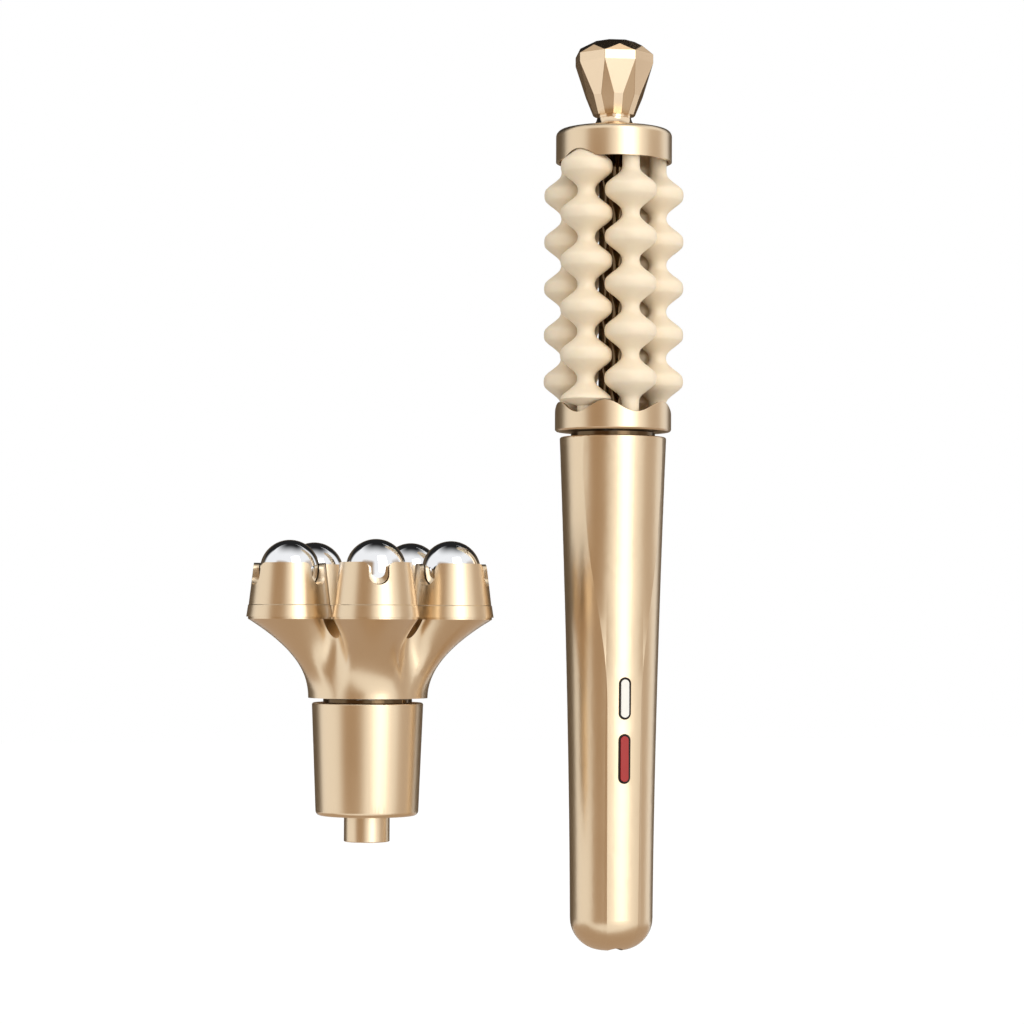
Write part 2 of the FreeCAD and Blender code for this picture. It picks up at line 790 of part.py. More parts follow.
def roller_plug():
    """The still part of the roller head: its plug, its bush and the clip under the bush."""
    node("roller_plug", turned("roller_plug", [
        (bush_seat, plug_foot), (s.pin_radius, plug_foot), (s.pin_radius, seat_height),
        (groove_radius, seat_height), (groove_radius, ring_foot - s.float_gap),
        (bush_seat, ring_foot - s.float_gap)]))
    bush_top = ring_foot - s.float_gap
    node("roller_bush", tube("roller_bush", bush_bore, bush_radius, bush_top - s.bush_long, bush_top))
    clip_top = bush_top - s.bush_long - s.press_gap * 5
    node("roller_clip", tube("roller_clip", s.spindle_radius + s.press_gap, bush_radius - s.run_gap,
                             clip_top - s.clip_thick, clip_top))
    spindle_top = ring_floor_top + s.spindle_tail
    spindle("roller_spindle", spindle_foot, spindle_top, spindle_top - s.tie_seat)


def roller_places():
    """Each roller's angle and whether it is a long one; like neighbours stand wider apart."""
    front = float(s.front_gap_angle)
    like = float(s.like_gap_angle)
    turns = [(0, True), (front, False), (front + like, False),
             (180, True), (180 + like, True), (360 - front, False)]
    return [(float(s.roller_angle) + turn, long_one) for turn, long_one in turns]


def roller_solid(long_one, grow=0.0):
    """A wavy roller about its own axis, made larger all over by an allowance where one is given."""
    neck = float(s.neck_radius) + grow
    lobe_turn = float(s.lobe_round) + grow
    neck_turn = float(s.neck_round) - grow
    lobe_centre = float(s.lobe_radius - s.lobe_round)
    neck_centre = float(s.neck_radius + s.neck_round)
    half = float(lobe_pitch) / 2
    across = neck_centre - lobe_centre
    tilt = math.asin((lobe_turn + neck_turn) / math.hypot(across, half)) - math.atan2(across, half)
    lobe_x = lobe_centre + lobe_turn * math.cos(tilt)
    lobe_z = lobe_turn * math.sin(tilt)
    neck_x = neck_centre - neck_turn * math.cos(tilt)
    neck_z = half - neck_turn * math.sin(tilt)
    dip_x = neck_centre - neck_turn * math.cos(tilt / 2)
    dip_z = half - neck_turn * math.sin(tilt / 2)
    low = float(roller_low)
    high = float(roller_high)
    count = int(float(s.long_lobe_count))
    lobes = [float(foot_lobe) + 2 * half * k for k in range(count)]
    if not long_one:
        lobes = [z + half for z in lobes[:-1]]
    lobe_reach = lobe_centre + lobe_turn
    bulge = (lobe_reach, lobes[0])
    if long_one:
        sink = float(s.foot_lobe_sink)
        start = math.asin(sink / float(s.lobe_round))
        edge = (lobe_centre + lobe_turn * math.cos(start), lobes[0] + lobe_turn * math.sin(start))
        middle = (start + tilt) / 2
        bulge = (lobe_centre + lobe_turn * math.cos(middle), lobes[0] + lobe_turn * math.sin(middle))
        steps = [(neck, low), (neck, edge[1] - float(s.foot_lobe_dish)), edge]
    else:
        steps = [(neck, low), (neck, lobes[0] - half),
                 ((dip_x, lobes[0] - dip_z), (neck_x, lobes[0] - neck_z)), (lobe_x, lobes[0] - lobe_z)]
    for k, height in enumerate(lobes):
        steps.append(((lobe_reach, height) if k else bulge, (lobe_x, height + lobe_z)))
        steps.append((neck_x, height + neck_z))
        if k + 1 < len(lobes):
            steps.append(((neck, height + half), (neck_x, lobes[k + 1] - neck_z)))
            steps.append((lobe_x, lobes[k + 1] - lobe_z))
    last = lobes[-1]
    steps.append(((dip_x, last + dip_z), (neck, last + half)))
    top = max(high, last + half) + neck
    steps += [(neck, top), (0, top), (0, low)]
    solid = spun(outline((0, low), *steps))
    if grow:
        return solid
    stock = rod(lobe_reach * 2, low, high)
    bore = rod(float(s.axle_radius + s.run_gap), low, high)
    return solid.common(stock).cut(bore)


def rollers():
    """The wavy rollers, long and short ones round the cage."""
    shapes = {long_one: roller_solid(long_one) for long_one in (True, False)}
    for k, (angle, long_one) in enumerate(roller_places(), 1):
        spot = on_circle(float(roller_circle), angle)
        shaped(f"roller_{k}", shapes[long_one].copy(), FreeCAD.Placement(spot, FreeCAD.Rotation()))


def roller_clearances():
    """The space that the long rollers need where they pass the upper ring."""
    swept = roller_solid(True, float(s.roller_clearance))
    spaces = []
    for angle, long_one in roller_places():
        if long_one:
            spaces.append(swept.copy())
            spaces[-1].translate(on_circle(float(roller_circle), angle))
    return spaces


def axle_holes(low, high):
    """Blind holes for the ends of the roller axles."""
    radius = float(s.axle_radius + s.press_gap)
    spots = [on_circle(float(roller_circle), angle) for angle, long_one in roller_places()]
    return [rod(radius, low, high, spot.x, spot.y) for spot in spots]


def wave_cutter():
    """What lies above the lower ring's edge, which waves down at every roller."""
    middle = float(ring_foot + s.wave_middle)
    rise = float(s.wave_rise)
    dips = [angle for angle, long_one in roller_places()]
    curves = []
    for radius in (float(ring_radius - s.ring_wall * 2), float(ring_radius + s.ring_wall)):
        points = []
        for low, high in zip(dips, dips[1:] + [dips[0] + 360.0]):
            for share in (0.0, 0.125, 0.25, 0.375, 0.5, 0.625, 0.75, 0.875):
                spot = on_circle(radius, low + (high - low) * share)
                spot.z = middle - rise * math.cos(2 * math.pi * share)
                points.append(spot)
        curve = Part.BSplineCurve()
        curve.interpolate(points, True)
        curves.append(curve.toShape())
    return Part.makeRuledSurface(curves[0], curves[1]).extrude(UP * rise * 4)


def rings():
    """The two rings that carry the rollers between them."""
    outer = float(ring_radius)
    inner = float(ring_radius - s.ring_wall)
    foot = float(ring_foot)
    floor = float(ring_floor_top)
    peak = float(ring_foot + s.wave_middle + s.wave_rise * 2)
    shaft = float(s.spindle_radius + s.press_gap)
    edge = float(s.ring_wall) / 2
    seat = float(s.axle_seat)
    lower = spun(outline((shaft, foot), (outer - edge, foot), (outer, foot + edge), (outer, peak),
                         (inner, peak), (inner, floor), (shaft, floor), (shaft, foot)))
    lower = lower.cut([wave_cutter()] + axle_holes(floor - seat, floor + edge))
    shaped("lower_ring", lower)
    brim = float(cap_edge)
    ceiling = float(cap_floor)
    top = float(cap_top)
    turn = float(s.cap_round)
    bend = turn * math.sqrt(0.5)
    tie = float(s.tie_radius + s.press_gap)
    upper = spun(outline((tie, ceiling), (inner, ceiling), (inner, brim), (outer, brim), (outer, top - turn),
                         ((outer - turn + bend, top - turn + bend), (outer - turn, top)), (tie, top),
                         (tie, ceiling)))
    upper = upper.cut(roller_clearances() + axle_holes(ceiling - edge, ceiling + seat))
    shaped("upper_ring", upper)


def cage_core():
    """The polished column, the rod that ties the cage together, the axles and their washers."""
    node("core_tube", tube("core_tube", s.spindle_radius + s.press_gap, s.core_radius,
                           ring_floor_top, cap_floor))
    tie_foot = ring_floor_top + s.spindle_tail - s.tie_seat
    node("tie_rod", cylinder("tie_rod", s.tie_radius, tie_foot, neck_top + s.tie_in_knob))
    axles = []
    washers = []
    for k, (angle, long_one) in enumerate(roller_places()):
        x = roller_circle * cosine(angle)
        y = roller_circle * sine(angle)
        axles.append(cylinder(f"axle_{k}", s.axle_radius, ring_floor_top - s.axle_seat,
                              cap_floor + s.axle_seat, x, y))
        bore = s.axle_radius + s.press_gap
        low = tube(f"washer_low_{k}", bore, s.washer_radius, ring_floor_top, ring_floor_top + s.washer_thick)
        high = tube(f"washer_high_{k}", bore, s.washer_radius, cap_floor - s.washer_thick, cap_floor)
        washers += [place(low, x, y), place(high, x, y)]
    node("roller_axles", group("roller_axles", axles))
    node("axle_washers", group("axle_washers", washers))


def knob_neck():
    """The flared neck between the upper ring and the knob."""
    foot = float(cap_top)
    top = float(neck_top)
    wide = float(s.neck_foot_radius)
    waist = float(s.neck_waist_radius)
    curve_top = top - float(s.neck_straight)
    bore = float(s.tie_radius + s.press_gap)
    bend = math.sqrt(0.5)
    middle = (wide - (wide - waist) * bend, curve_top - (curve_top - foot) * bend)
    shaped("knob_neck", spun(outline((bore, foot), (wide, foot), (middle, (waist, curve_top)), (waist, top),
                                     (bore, top), (bore, foot))))


def faceted_knob():
    """The cut knob: a foot, a belly, an upright girdle, a crown of triangles and a flat table."""
    sides = int(float(s.knob_side_count))
    step = 360.0 / sides
    start = float(s.knob_angle)
    foot = float(neck_top)

    def ring(radius, height, offset=0.0):
        points = []
        for k in range(sides):
            spot = on_circle(radius, start + step * k + offset)
            spot.z = foot + height
            points.append(spot)
        return points

    belly_angle = float(s.knob_belly_angle)
    girdle_low = float(s.girdle_height)
    girdle_high = girdle_low + float(s.girdle_band)
    foot_left = ring(float(s.knob_foot_radius), 0.0, -step / 4)
    foot_right = ring(float(s.knob_foot_radius), 0.0, step / 4)
    belly_left = ring(float(s.knob_belly_radius), float(s.knob_belly_height), -belly_angle)
    belly_right = ring(float(s.knob_belly_radius), float(s.knob_belly_height), belly_angle)
    low = ring(float(s.girdle_radius), girdle_low)
    high = ring(float(s.girdle_radius), girdle_high)
    crest = ring(float(s.crest_radius), girdle_high + float(s.crest_rise), step / 2)
    table = ring(float(s.table_radius), girdle_high + float(s.crown_rise))
    facets = [table, [p for pair in zip(foot_left, foot_right) for p in pair]]
    for k in range(sides):
        n = (k + 1) % sides
        facets += [
            [foot_left[k], foot_right[k], belly_right[k], belly_left[k]],
            [foot_right[k], foot_left[n], belly_left[n], belly_right[k]],
            [belly_left[k], belly_right[k], low[k]],
            [belly_right[k], belly_left[n], low[n], low[k]],
            [low[k], low[n], high[n], high[k]],
            [high[k], high[n], crest[k]],
            [high[k], crest[k], table[k]],
            [high[n], table[n], crest[k]],
            [table[k], crest[k], table[n]],
        ]
    faces = [Part.Face(Part.makePolygon(points + points[:1])) for points in facets]
    solid = Part.Solid(Part.Shell(faces))
    if solid.Volume < 0:
        solid.reverse()
    bore = rod(float(s.tie_radius + s.press_gap), foot, foot + float(s.tie_in_knob + s.fit_gap))
    shaped("faceted_knob", solid.cut(bore))


def ball_head_base():
    """The still part of the ball head: sleeve, plug, neck cap and bushes."""
    x = -s.head_offset
    slope = (s.sleeve_top_radius - s.sleeve_foot_radius) / s.sleeve_tall
    floor_top = sleeve_foot + s.sleeve_floor
    inside_low = s.sleeve_foot_radius + slope * s.sleeve_floor - s.sleeve_wall
    inside_top = s.sleeve_top_radius - s.sleeve_wall
    shoulder = s.pin_radius + s.plug_step
    hole = shoulder + s.press_gap
    foot = float(sleeve_foot)
    turn = float(s.sleeve_round)
    bend = turn * math.sqrt(0.5)
    side = float(s.sleeve_foot_radius + slope * s.sleeve_round)
    lip = turn / 4
    mouth = float(s.sleeve_top_radius)
    sleeve = spun(outline((float(hole), foot), (side - turn, foot),
                          ((side - turn + bend, foot + turn - bend), (side, foot + turn)),
                          (mouth, float(sleeve_top) - lip), (mouth - lip, float(sleeve_top)),
                          (float(inside_top), float(sleeve_top)), (float(inside_low), float(floor_top)),
                          (float(hole), float(floor_top)), (float(hole), foot)))
    shaped("ball_sleeve", sleeve, turn_about_z(0, float(x)))
    cap_foot = sleeve_top - s.neck_cap_thick
    flange_top = floor_top + s.flange_thick
    tube_radius = bush_seat + s.plug_wall
    plug = turned("ball_plug", [
        (bush_seat, s.head_foot_height), (s.pin_radius, s.head_foot_height), (s.pin_radius, sleeve_foot),
        (shoulder, sleeve_foot), (shoulder, floor_top), (s.flange_radius, floor_top),
        (s.flange_radius, flange_top), (tube_radius, flange_top), (tube_radius, cap_foot),
        (bush_seat, cap_foot)])
    node("ball_plug", place(plug, x))
    cap_top_height = crown_foot - s.float_gap
    cap_side = inside_top - slope * s.neck_cap_thick - s.press_gap
    cap = turned("ball_neck", [
        (bush_seat, cap_foot), (cap_side, cap_foot), (cap_side, sleeve_top - s.float_gap),
        (s.neck_cap_radius, sleeve_top - s.float_gap), (s.neck_cap_radius, cap_top_height),
        (bush_seat, cap_top_height)])
    node("ball_neck", place(cap, x))
    low_bush_foot = floor_top
    bushes = [tube("ball_bush_low", bush_bore, bush_radius, low_bush_foot, low_bush_foot + s.bush_long),
              tube("ball_bush_high", bush_bore, bush_radius, cap_top_height - s.bush_long, cap_top_height)]
    node("ball_bushes", group("ball_bushes", [place(bush, x) for bush in bushes]))
    clip_top = low_bush_foot - s.press_gap * 5
    clip = tube("ball_clip", s.spindle_radius + s.press_gap, bush_radius - s.run_gap,
                clip_top - s.clip_thick, clip_top)
    node("ball_clip", place(clip, x))


def valley_angle():
    """Half the angle between two of the crown's arms, in radians."""
    return math.pi / int(float(s.arm_count))


def valley_top():
    """The reach and the rounding of the valleys between the arms at the arms' tops."""
    half = valley_angle()
    circle = float(s.arm_circle)
    radius = float(s.arm_top_radius)
    aside = circle * math.sin(half)
    round_radius = max(aside - radius, 0.0) + float(s.valley_top_spare)
    centre = circle * math.cos(half) + math.sqrt((radius + round_radius) ** 2 - aside ** 2)
    return centre - round_radius, round_radius


def crown_section(share):
    """The crown's outline at a share of its height: round arms joined by round valleys."""
    half = valley_angle()
    top_valley, top_round = valley_top()
    foot_reach = float(s.crown_foot_reach)
    top_reach = float(s.arm_circle + s.arm_top_radius)
    flare = share ** float(s.arm_power)
    reach = foot_reach + (top_reach - foot_reach) * flare + float(s.arm_swell) * (share ** 1.5 - flare)
    valley = float(s.valley_radius) + (top_valley - float(s.valley_radius)) * share ** 6
    turn = top_round + (float(s.valley_foot_round) - top_round) * (1.0 - share) ** 2.5
    outer = reach + turn
    inner = valley + turn
    circle = (outer ** 2 - inner ** 2) / (2 * (outer - inner * math.cos(half)))
    radius = reach - circle
    height = float(crown_foot) + float(s.arm_tall) * share
    edges = []
    for angle in arm_angles():
        arm = math.radians(angle)
        before = V(inner * math.cos(arm - half), inner * math.sin(arm - half), 0)
        after = V(inner * math.cos(arm + half), inner * math.sin(arm + half), 0)
        middle = V(circle * math.cos(arm), circle * math.sin(arm), 0)
        start = middle + (before - middle) * (radius / (radius + turn))
        end = middle + (after - middle) * (radius / (radius + turn))
        tip = V(reach * math.cos(arm), reach * math.sin(arm), 0)
        dip = V(valley * math.cos(arm + half), valley * math.sin(arm + half), 0)
        next_start = FreeCAD.Rotation(UP, math.degrees(2 * half)).multVec(start)
        edges.append(Part.Arc(start, tip, end).toShape())
        edges.append(Part.Arc(end, dip, next_start).toShape())
    wire = Part.Wire(edges)
    wire.translate(UP * height)
    return wire


def cup_frame(angle):
    """Where a cup stands on its arm, leaning out a little, with its own +X outwards."""
    spot = on_circle(float(s.arm_circle), angle)
    spot.z = float(arm_top)
    lean = FreeCAD.Rotation(V(0, 1, 0), float(s.cup_lean_angle))
    return FreeCAD.Placement(spot, FreeCAD.Rotation(UP, angle).multiply(lean))


def arm_angles():
    """The angles of the crown's arms."""
    count = int(float(s.arm_count))
    return [float(s.arm_angle) + 360.0 / count * k for k in range(count)]


def crown():
    """The flared crown: arms that swell out of one neck, each with a flat top for a cup."""
    foot = float(crown_foot)
    hub_top = foot + float(s.hub_tall)
    loft_top = foot + float(s.arm_tall)
    sections = [crown_section(share) for share in (0.0, 0.15, 0.3, 0.5, 0.7, 0.85, 1.0)]
    body = Part.makeLoft(sections, True, False)
    valley, _ = valley_top()
    open_radius = valley + float(s.bowl_spare)
    bowl = spun(outline((0, hub_top), (float(s.bowl_floor_radius), hub_top),
                        (float(s.valley_radius), loft_top - float(s.arm_gap_tall)), (open_radius, loft_top),
                        (open_radius, float(arm_top)), (0, float(arm_top)), (0, hub_top)))
    body = body.cut(bowl)
    rim = rod(float(s.arm_top_radius), -float(s.arm_rim), 0.0)
    screw_hole = rod(float(s.cup_screw_radius + s.press_gap), -float(s.cup_screw_long), 0.0)
    rims = []
    holes = []
    for angle in arm_angles():
        rims.append(rim.copy())
        rims[-1].Placement = cup_frame(angle).multiply(rim.Placement)
        holes.append(screw_hole.copy())
        holes[-1].Placement = cup_frame(angle).multiply(screw_hole.Placement)
    body = body.fuse(rims)
    shaft_top = hub_top - float(s.hub_cap)
    bores = [rod(float(s.spindle_radius + s.press_gap), foot, shaft_top + float(s.press_gap)),
             rod(float(s.tie_radius + s.press_gap), shaft_top, hub_top)]
    body = body.cut(bores + holes)
    shaped("crown", body, turn_about_z(0, -float(s.head_offset)))


def crown_drive():
    """The crown's shaft and the screw that holds the crown on it."""
    x = -s.head_offset
    hub_top = crown_foot + s.hub_tall
    shaft_top = hub_top - s.hub_cap
    spindle("crown_shaft", s.head_foot_height + s.spindle_lift, shaft_top, shaft_top - s.tie_seat, x)
    head = cylinder("crown_screw_head", s.hub_screw_radius, hub_top, hub_top + s.hub_screw_head, x)
    shank = cylinder("crown_screw_shank", s.tie_radius, shaft_top - s.tie_seat, hub_top, x)
    node("crown_screw", fuse("crown_screw", head, shank))


def cup_solid():
    """A claw cup about its own axis, its first notch towards +X."""
    rim = float(s.cup_tall)
    band = float(s.cup_band_tall)
    band_top = float(s.cup_band_top_radius)
    step = float(s.cup_step)
    blank = spun(outline((0, 0), (float(s.cup_foot_radius), 0), (band_top, band),
                         (band_top - step, band + step), (float(s.cup_rim_radius), rim), (0, rim), (0, 0)))
    ball = Part.makeSphere(float(s.ball_radius + s.ball_clearance), V(0, 0, float(ball_rise)))
    seat = rod(float(s.seat_radius), float(s.cup_floor), float(ball_rise))
    hole = rod(float(s.cup_screw_radius + s.press_gap), 0.0, float(s.cup_floor))
    half = float(s.notch_wide) / 2
    turn = float(s.notch_round)
    flare = float(s.notch_flare)
    floor = rim - float(s.notch_deep)
    over = rim + flare
    bend = turn * (1 - math.sqrt(0.5))
    lip = flare * (1 - math.sqrt(0.5))
    notch_edges = outline((half + flare, over), (half + flare, rim),
                          ((half + lip, rim - lip), (half, rim - flare)), (half, floor + turn),
                          ((half - bend, floor + bend), (half - turn, floor)), (turn - half, floor),
                          ((bend - half, floor + bend), (-half, floor + turn)), (-half, rim - flare),
                          ((-half - lip, rim - lip), (-half - flare, rim)), (-half - flare, over),
                          (half + flare, over))
    notch = Part.Face(Part.Wire(notch_edges)).extrude(V(0, float(s.cup_foot_radius) * 1.5, 0))
    notch.rotate(V(), UP, -90)
    count = int(float(s.notch_count))
    notches = []
    for k in range(count):
        copy = notch.copy()
        copy.rotate(V(), UP, 360.0 / count * k)
        notches.append(copy)
    return blank.cut([ball, seat, hole] + notches)


def seat_solid():
    """The ring in a cup's floor that the ball runs on."""
    low = float(s.cup_floor)
    ring = rod(float(s.seat_radius - s.run_gap), low, float(ball_rise))
    ball = Part.makeSphere(float(s.ball_radius + s.ball_clearance), V(0, 0, float(ball_rise)))
    way = rod(float(s.cup_screw_head + s.fit_gap), low, float(ball_rise))
    return ring.cut([ball, way])


def cups_and_balls():
    """Each arm's cup, the seat and screw in it, and the ball that rolls in it."""
    cup = cup_solid()
    seat = seat_solid()
    floor = s.cup_floor
    head_top = floor + s.cup_screw_head_tall
    ball_circle = s.arm_circle + ball_rise * sine(s.cup_lean_angle)
    ball_height = arm_top + ball_rise * cosine(s.cup_lean_angle)
    seats = []
    screws = []
    for k, angle in enumerate(arm_angles(), 1):
        frame = turn_about_z(0, -float(s.head_offset)).multiply(cup_frame(angle))
        shaped(f"cup_{k}", cup.copy(), frame)
        seats.append(seat.copy())
        seats[-1].Placement = frame
        screw = turned(f"cup_screw_{k}", [
            (0, -s.cup_screw_long), (s.cup_screw_radius, -s.cup_screw_long), (s.cup_screw_radius, floor),
            (s.cup_screw_head, floor), (s.cup_screw_head, head_top), (0, head_top)])
        screw.Placement = frame
        foot_x = s.arm_circle * cosine(angle) - s.head_offset
        screws.append(place(screw, foot_x, s.arm_circle * sine(angle), arm_top))
        ball = doc.addObject("Part::Sphere", f"ball_{k}")
        bind(ball, "Radius", s.ball_radius)
        node(f"ball_{k}", place(ball, ball_circle * cosine(angle) - s.head_offset,
                                ball_circle * sine(angle), ball_height))
    shaped("ball_seats", Part.makeCompound(seats))
    node("cup_screws", group("cup_screws", screws))


def write_parts():
    """Recompute, check every object and write each sub-part to its own file."""
    doc.recompute()
    for thing in doc.Objects:
        if "Invalid" in thing.State or "Error" in thing.State:
            raise RuntimeError(f"{thing.Label} could not be built: {thing.State}")
    for label, thing in nodes.items():
        if thing.Shape.isNull() or not thing.Shape.isValid() or not thing.Shape.Solids:
            raise RuntimeError(f"{label} has no valid solid")
    os.makedirs("parts", exist_ok=True)
    for label, thing in nodes.items():
        thing.Shape.exportStep(f"parts/{label}.step")
        print(f"{label}: {len(thing.Shape.Solids)} solids, {thing.Shape.Volume:.1f} mm3")


handle_shell()
button_bezels()
button("power_button", *button_places[0])
button("mode_button", *button_places[1])
charging_port()
chassis()
electronics()
drive_unit()
head_socket()
roller_plug()
rings()
rollers()
cage_core()
knob_neck()
faceted_knob()
ball_head_base()
crown()
crown_drive()
cups_and_balls()
write_parts()
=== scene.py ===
import json
import math

import bpy
from mathutils import Euler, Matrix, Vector


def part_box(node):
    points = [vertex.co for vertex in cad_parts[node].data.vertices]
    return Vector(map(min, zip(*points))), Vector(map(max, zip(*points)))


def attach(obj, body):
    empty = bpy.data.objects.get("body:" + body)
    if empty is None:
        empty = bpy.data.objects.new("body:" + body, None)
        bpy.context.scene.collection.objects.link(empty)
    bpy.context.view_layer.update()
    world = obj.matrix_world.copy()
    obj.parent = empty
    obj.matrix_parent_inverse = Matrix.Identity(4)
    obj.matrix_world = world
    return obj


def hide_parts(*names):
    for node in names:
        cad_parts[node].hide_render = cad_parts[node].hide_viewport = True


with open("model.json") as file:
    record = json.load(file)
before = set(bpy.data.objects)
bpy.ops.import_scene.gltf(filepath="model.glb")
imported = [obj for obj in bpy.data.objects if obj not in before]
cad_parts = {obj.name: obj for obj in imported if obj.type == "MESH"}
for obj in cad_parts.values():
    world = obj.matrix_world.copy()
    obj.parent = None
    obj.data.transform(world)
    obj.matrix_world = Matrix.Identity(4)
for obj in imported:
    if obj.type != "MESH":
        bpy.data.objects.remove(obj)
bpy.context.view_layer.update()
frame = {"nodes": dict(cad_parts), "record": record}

NODES = frame["nodes"]
BODY_OF = {node: body for body, nodes in frame["record"]["behaviour"]["bodies"].items() for node in nodes}

bl_info = {
    "name": "Face massager looks",
    "version": (1, 0, 0),
    "blender": (4, 5, 0),
    "location": "3D View > Sidebar > Massager",
    "description": "Dresses the roller wand and its ball head, and sets a plain studio round them",
    "category": "Object",
}

CUP_NODES = [f"cup_{k}" for k in range(1, 6)]
NECK_NODES = ["core_tube", "roller_plug", "ball_neck"]
ROLLER_NODES = [f"roller_{k}" for k in range(1, 7)]
BALL_NODES = [f"ball_{k}" for k in range(1, 6)]
BUTTON_NODES = ["power_button", "mode_button"]
STEEL_NODES = ["motor", "motor_plate", "motor_screws", "board_screws", "drive_shaft", "charging_port",
               "roller_spindle", "roller_clip", "tie_rod", "roller_axles", "axle_washers", "crown_shaft",
               "crown_screw", "ball_clip", "cup_screws"]
MOULDED_NODES = ["head_socket", "gearbox", "chassis", "power_switch", "mode_switch", "port_tongue",
                 "ball_seats"]
BOARD_NODES = ["main_board", "charging_board"]
BUSH_NODES = ["roller_bush", "ball_bushes"]

# Lengths are in metres and angles in degrees.

# In a copy of a CAD node, points this near are merged and faces this flat are joined.
MERGE_DISTANCE = 0.000002
FLAT_ANGLE = 0.4
# Edges sharper than this are softened. The knob's facets meet at smaller angles and have their own limit.
SHARP_ANGLE = 28.0
FACET_ANGLE = 5.0
EDGE_SEGMENTS = 2

# How strongly the grain shows on metals and on moulded pieces.
METAL_GRAIN = 0.25
MOULDED_GRAIN = 0.3
# How much coarser than its grain a moulded piece's mottle is.
MOULDED_MOTTLE = 12.0

# The heights between which the front panel's rounder sheen fades out.
PANEL_FADE = (0.070, 0.088)

# A lower facet of the knob stands under a small one, and takes its painted shade too, where the product of
# its normal and of that one's level direction is over this.
SAME_COLUMN = 0.91

# An edge on a roller's flank starts beyond the first share of the neck's radius and spans over the second.
FLANK_START = 0.9
FLANK_SPAN = 0.4
FLANK_CUTS = 6
# The share of the way from a roller's neck to its lobe's tip at which the lobe starts to swell.
LOBE_START = 0.3
# Over 1, this moves the fullest place of the swelling towards the tip.
LOBE_LEAN = 1.5
LOBE_SMOOTH_ANGLE = 40.0

# The direction from the wand to the camera, about Z. Azimuths are counted from it, to the right.
VIEW_ANGLE = -107.3
CAMERA_PLACE = (-0.21657, -0.69439, 0.0793)
CAMERA_TILT = 92.06
CAMERA_HEADING = -15.4
CAMERA_ROLL = 0.28
CAMERA_LENS_MM = 105.5
SENSOR_WIDE_MM = 36.0

LAMP_AZIMUTH = 29.5
LAMP_DISTANCE = 1.3
LAMP_HEIGHT = 0.5
LAMP_TARGET = (-0.02, 0.0, 0.11)
LAMP_TALL = 1.9
KEY_WIDE = 0.45
FILL_WIDE = 0.85

FLOOR_SIZE = 12.0
FLOOR_SHADE = 0.62
FLOOR_ROUGHNESS = 0.9
FLOOR_GLOW = 1.16
FLOOR_GLOW_SHARE = 0.8

WHITE = (1.0, 1.0, 1.0)
TAN_HUE = (1.0, 0.68, 0.42)
WARM_HUE = (1.0, 0.75, 0.5)
# The share of white in the cards that are paler than tan.
RIGHT_FLAG_WHITE = 0.3
FLOOR_CARD_WHITE = 0.15
# Each upright card's azimuth, the angle that it spans and the height of its upper edge.
LEFT_FLAG = (-31.0, 60.0, 0.62)
RIGHT_FLAG = (89.0, 52.0, 0.62)
BACK_CARD = (192.0, 124.0, 1.5)
# Each level card's width and depth.
CEILING_CARD = (2.4, 2.6)
FLOOR_CARD = (1.8, 0.9)
CEILING_HEIGHT = 1.5
CEILING_FORWARD = 0.5
FLOOR_CARD_BACK = 0.25
FLOOR_CARD_LIFT = 0.01


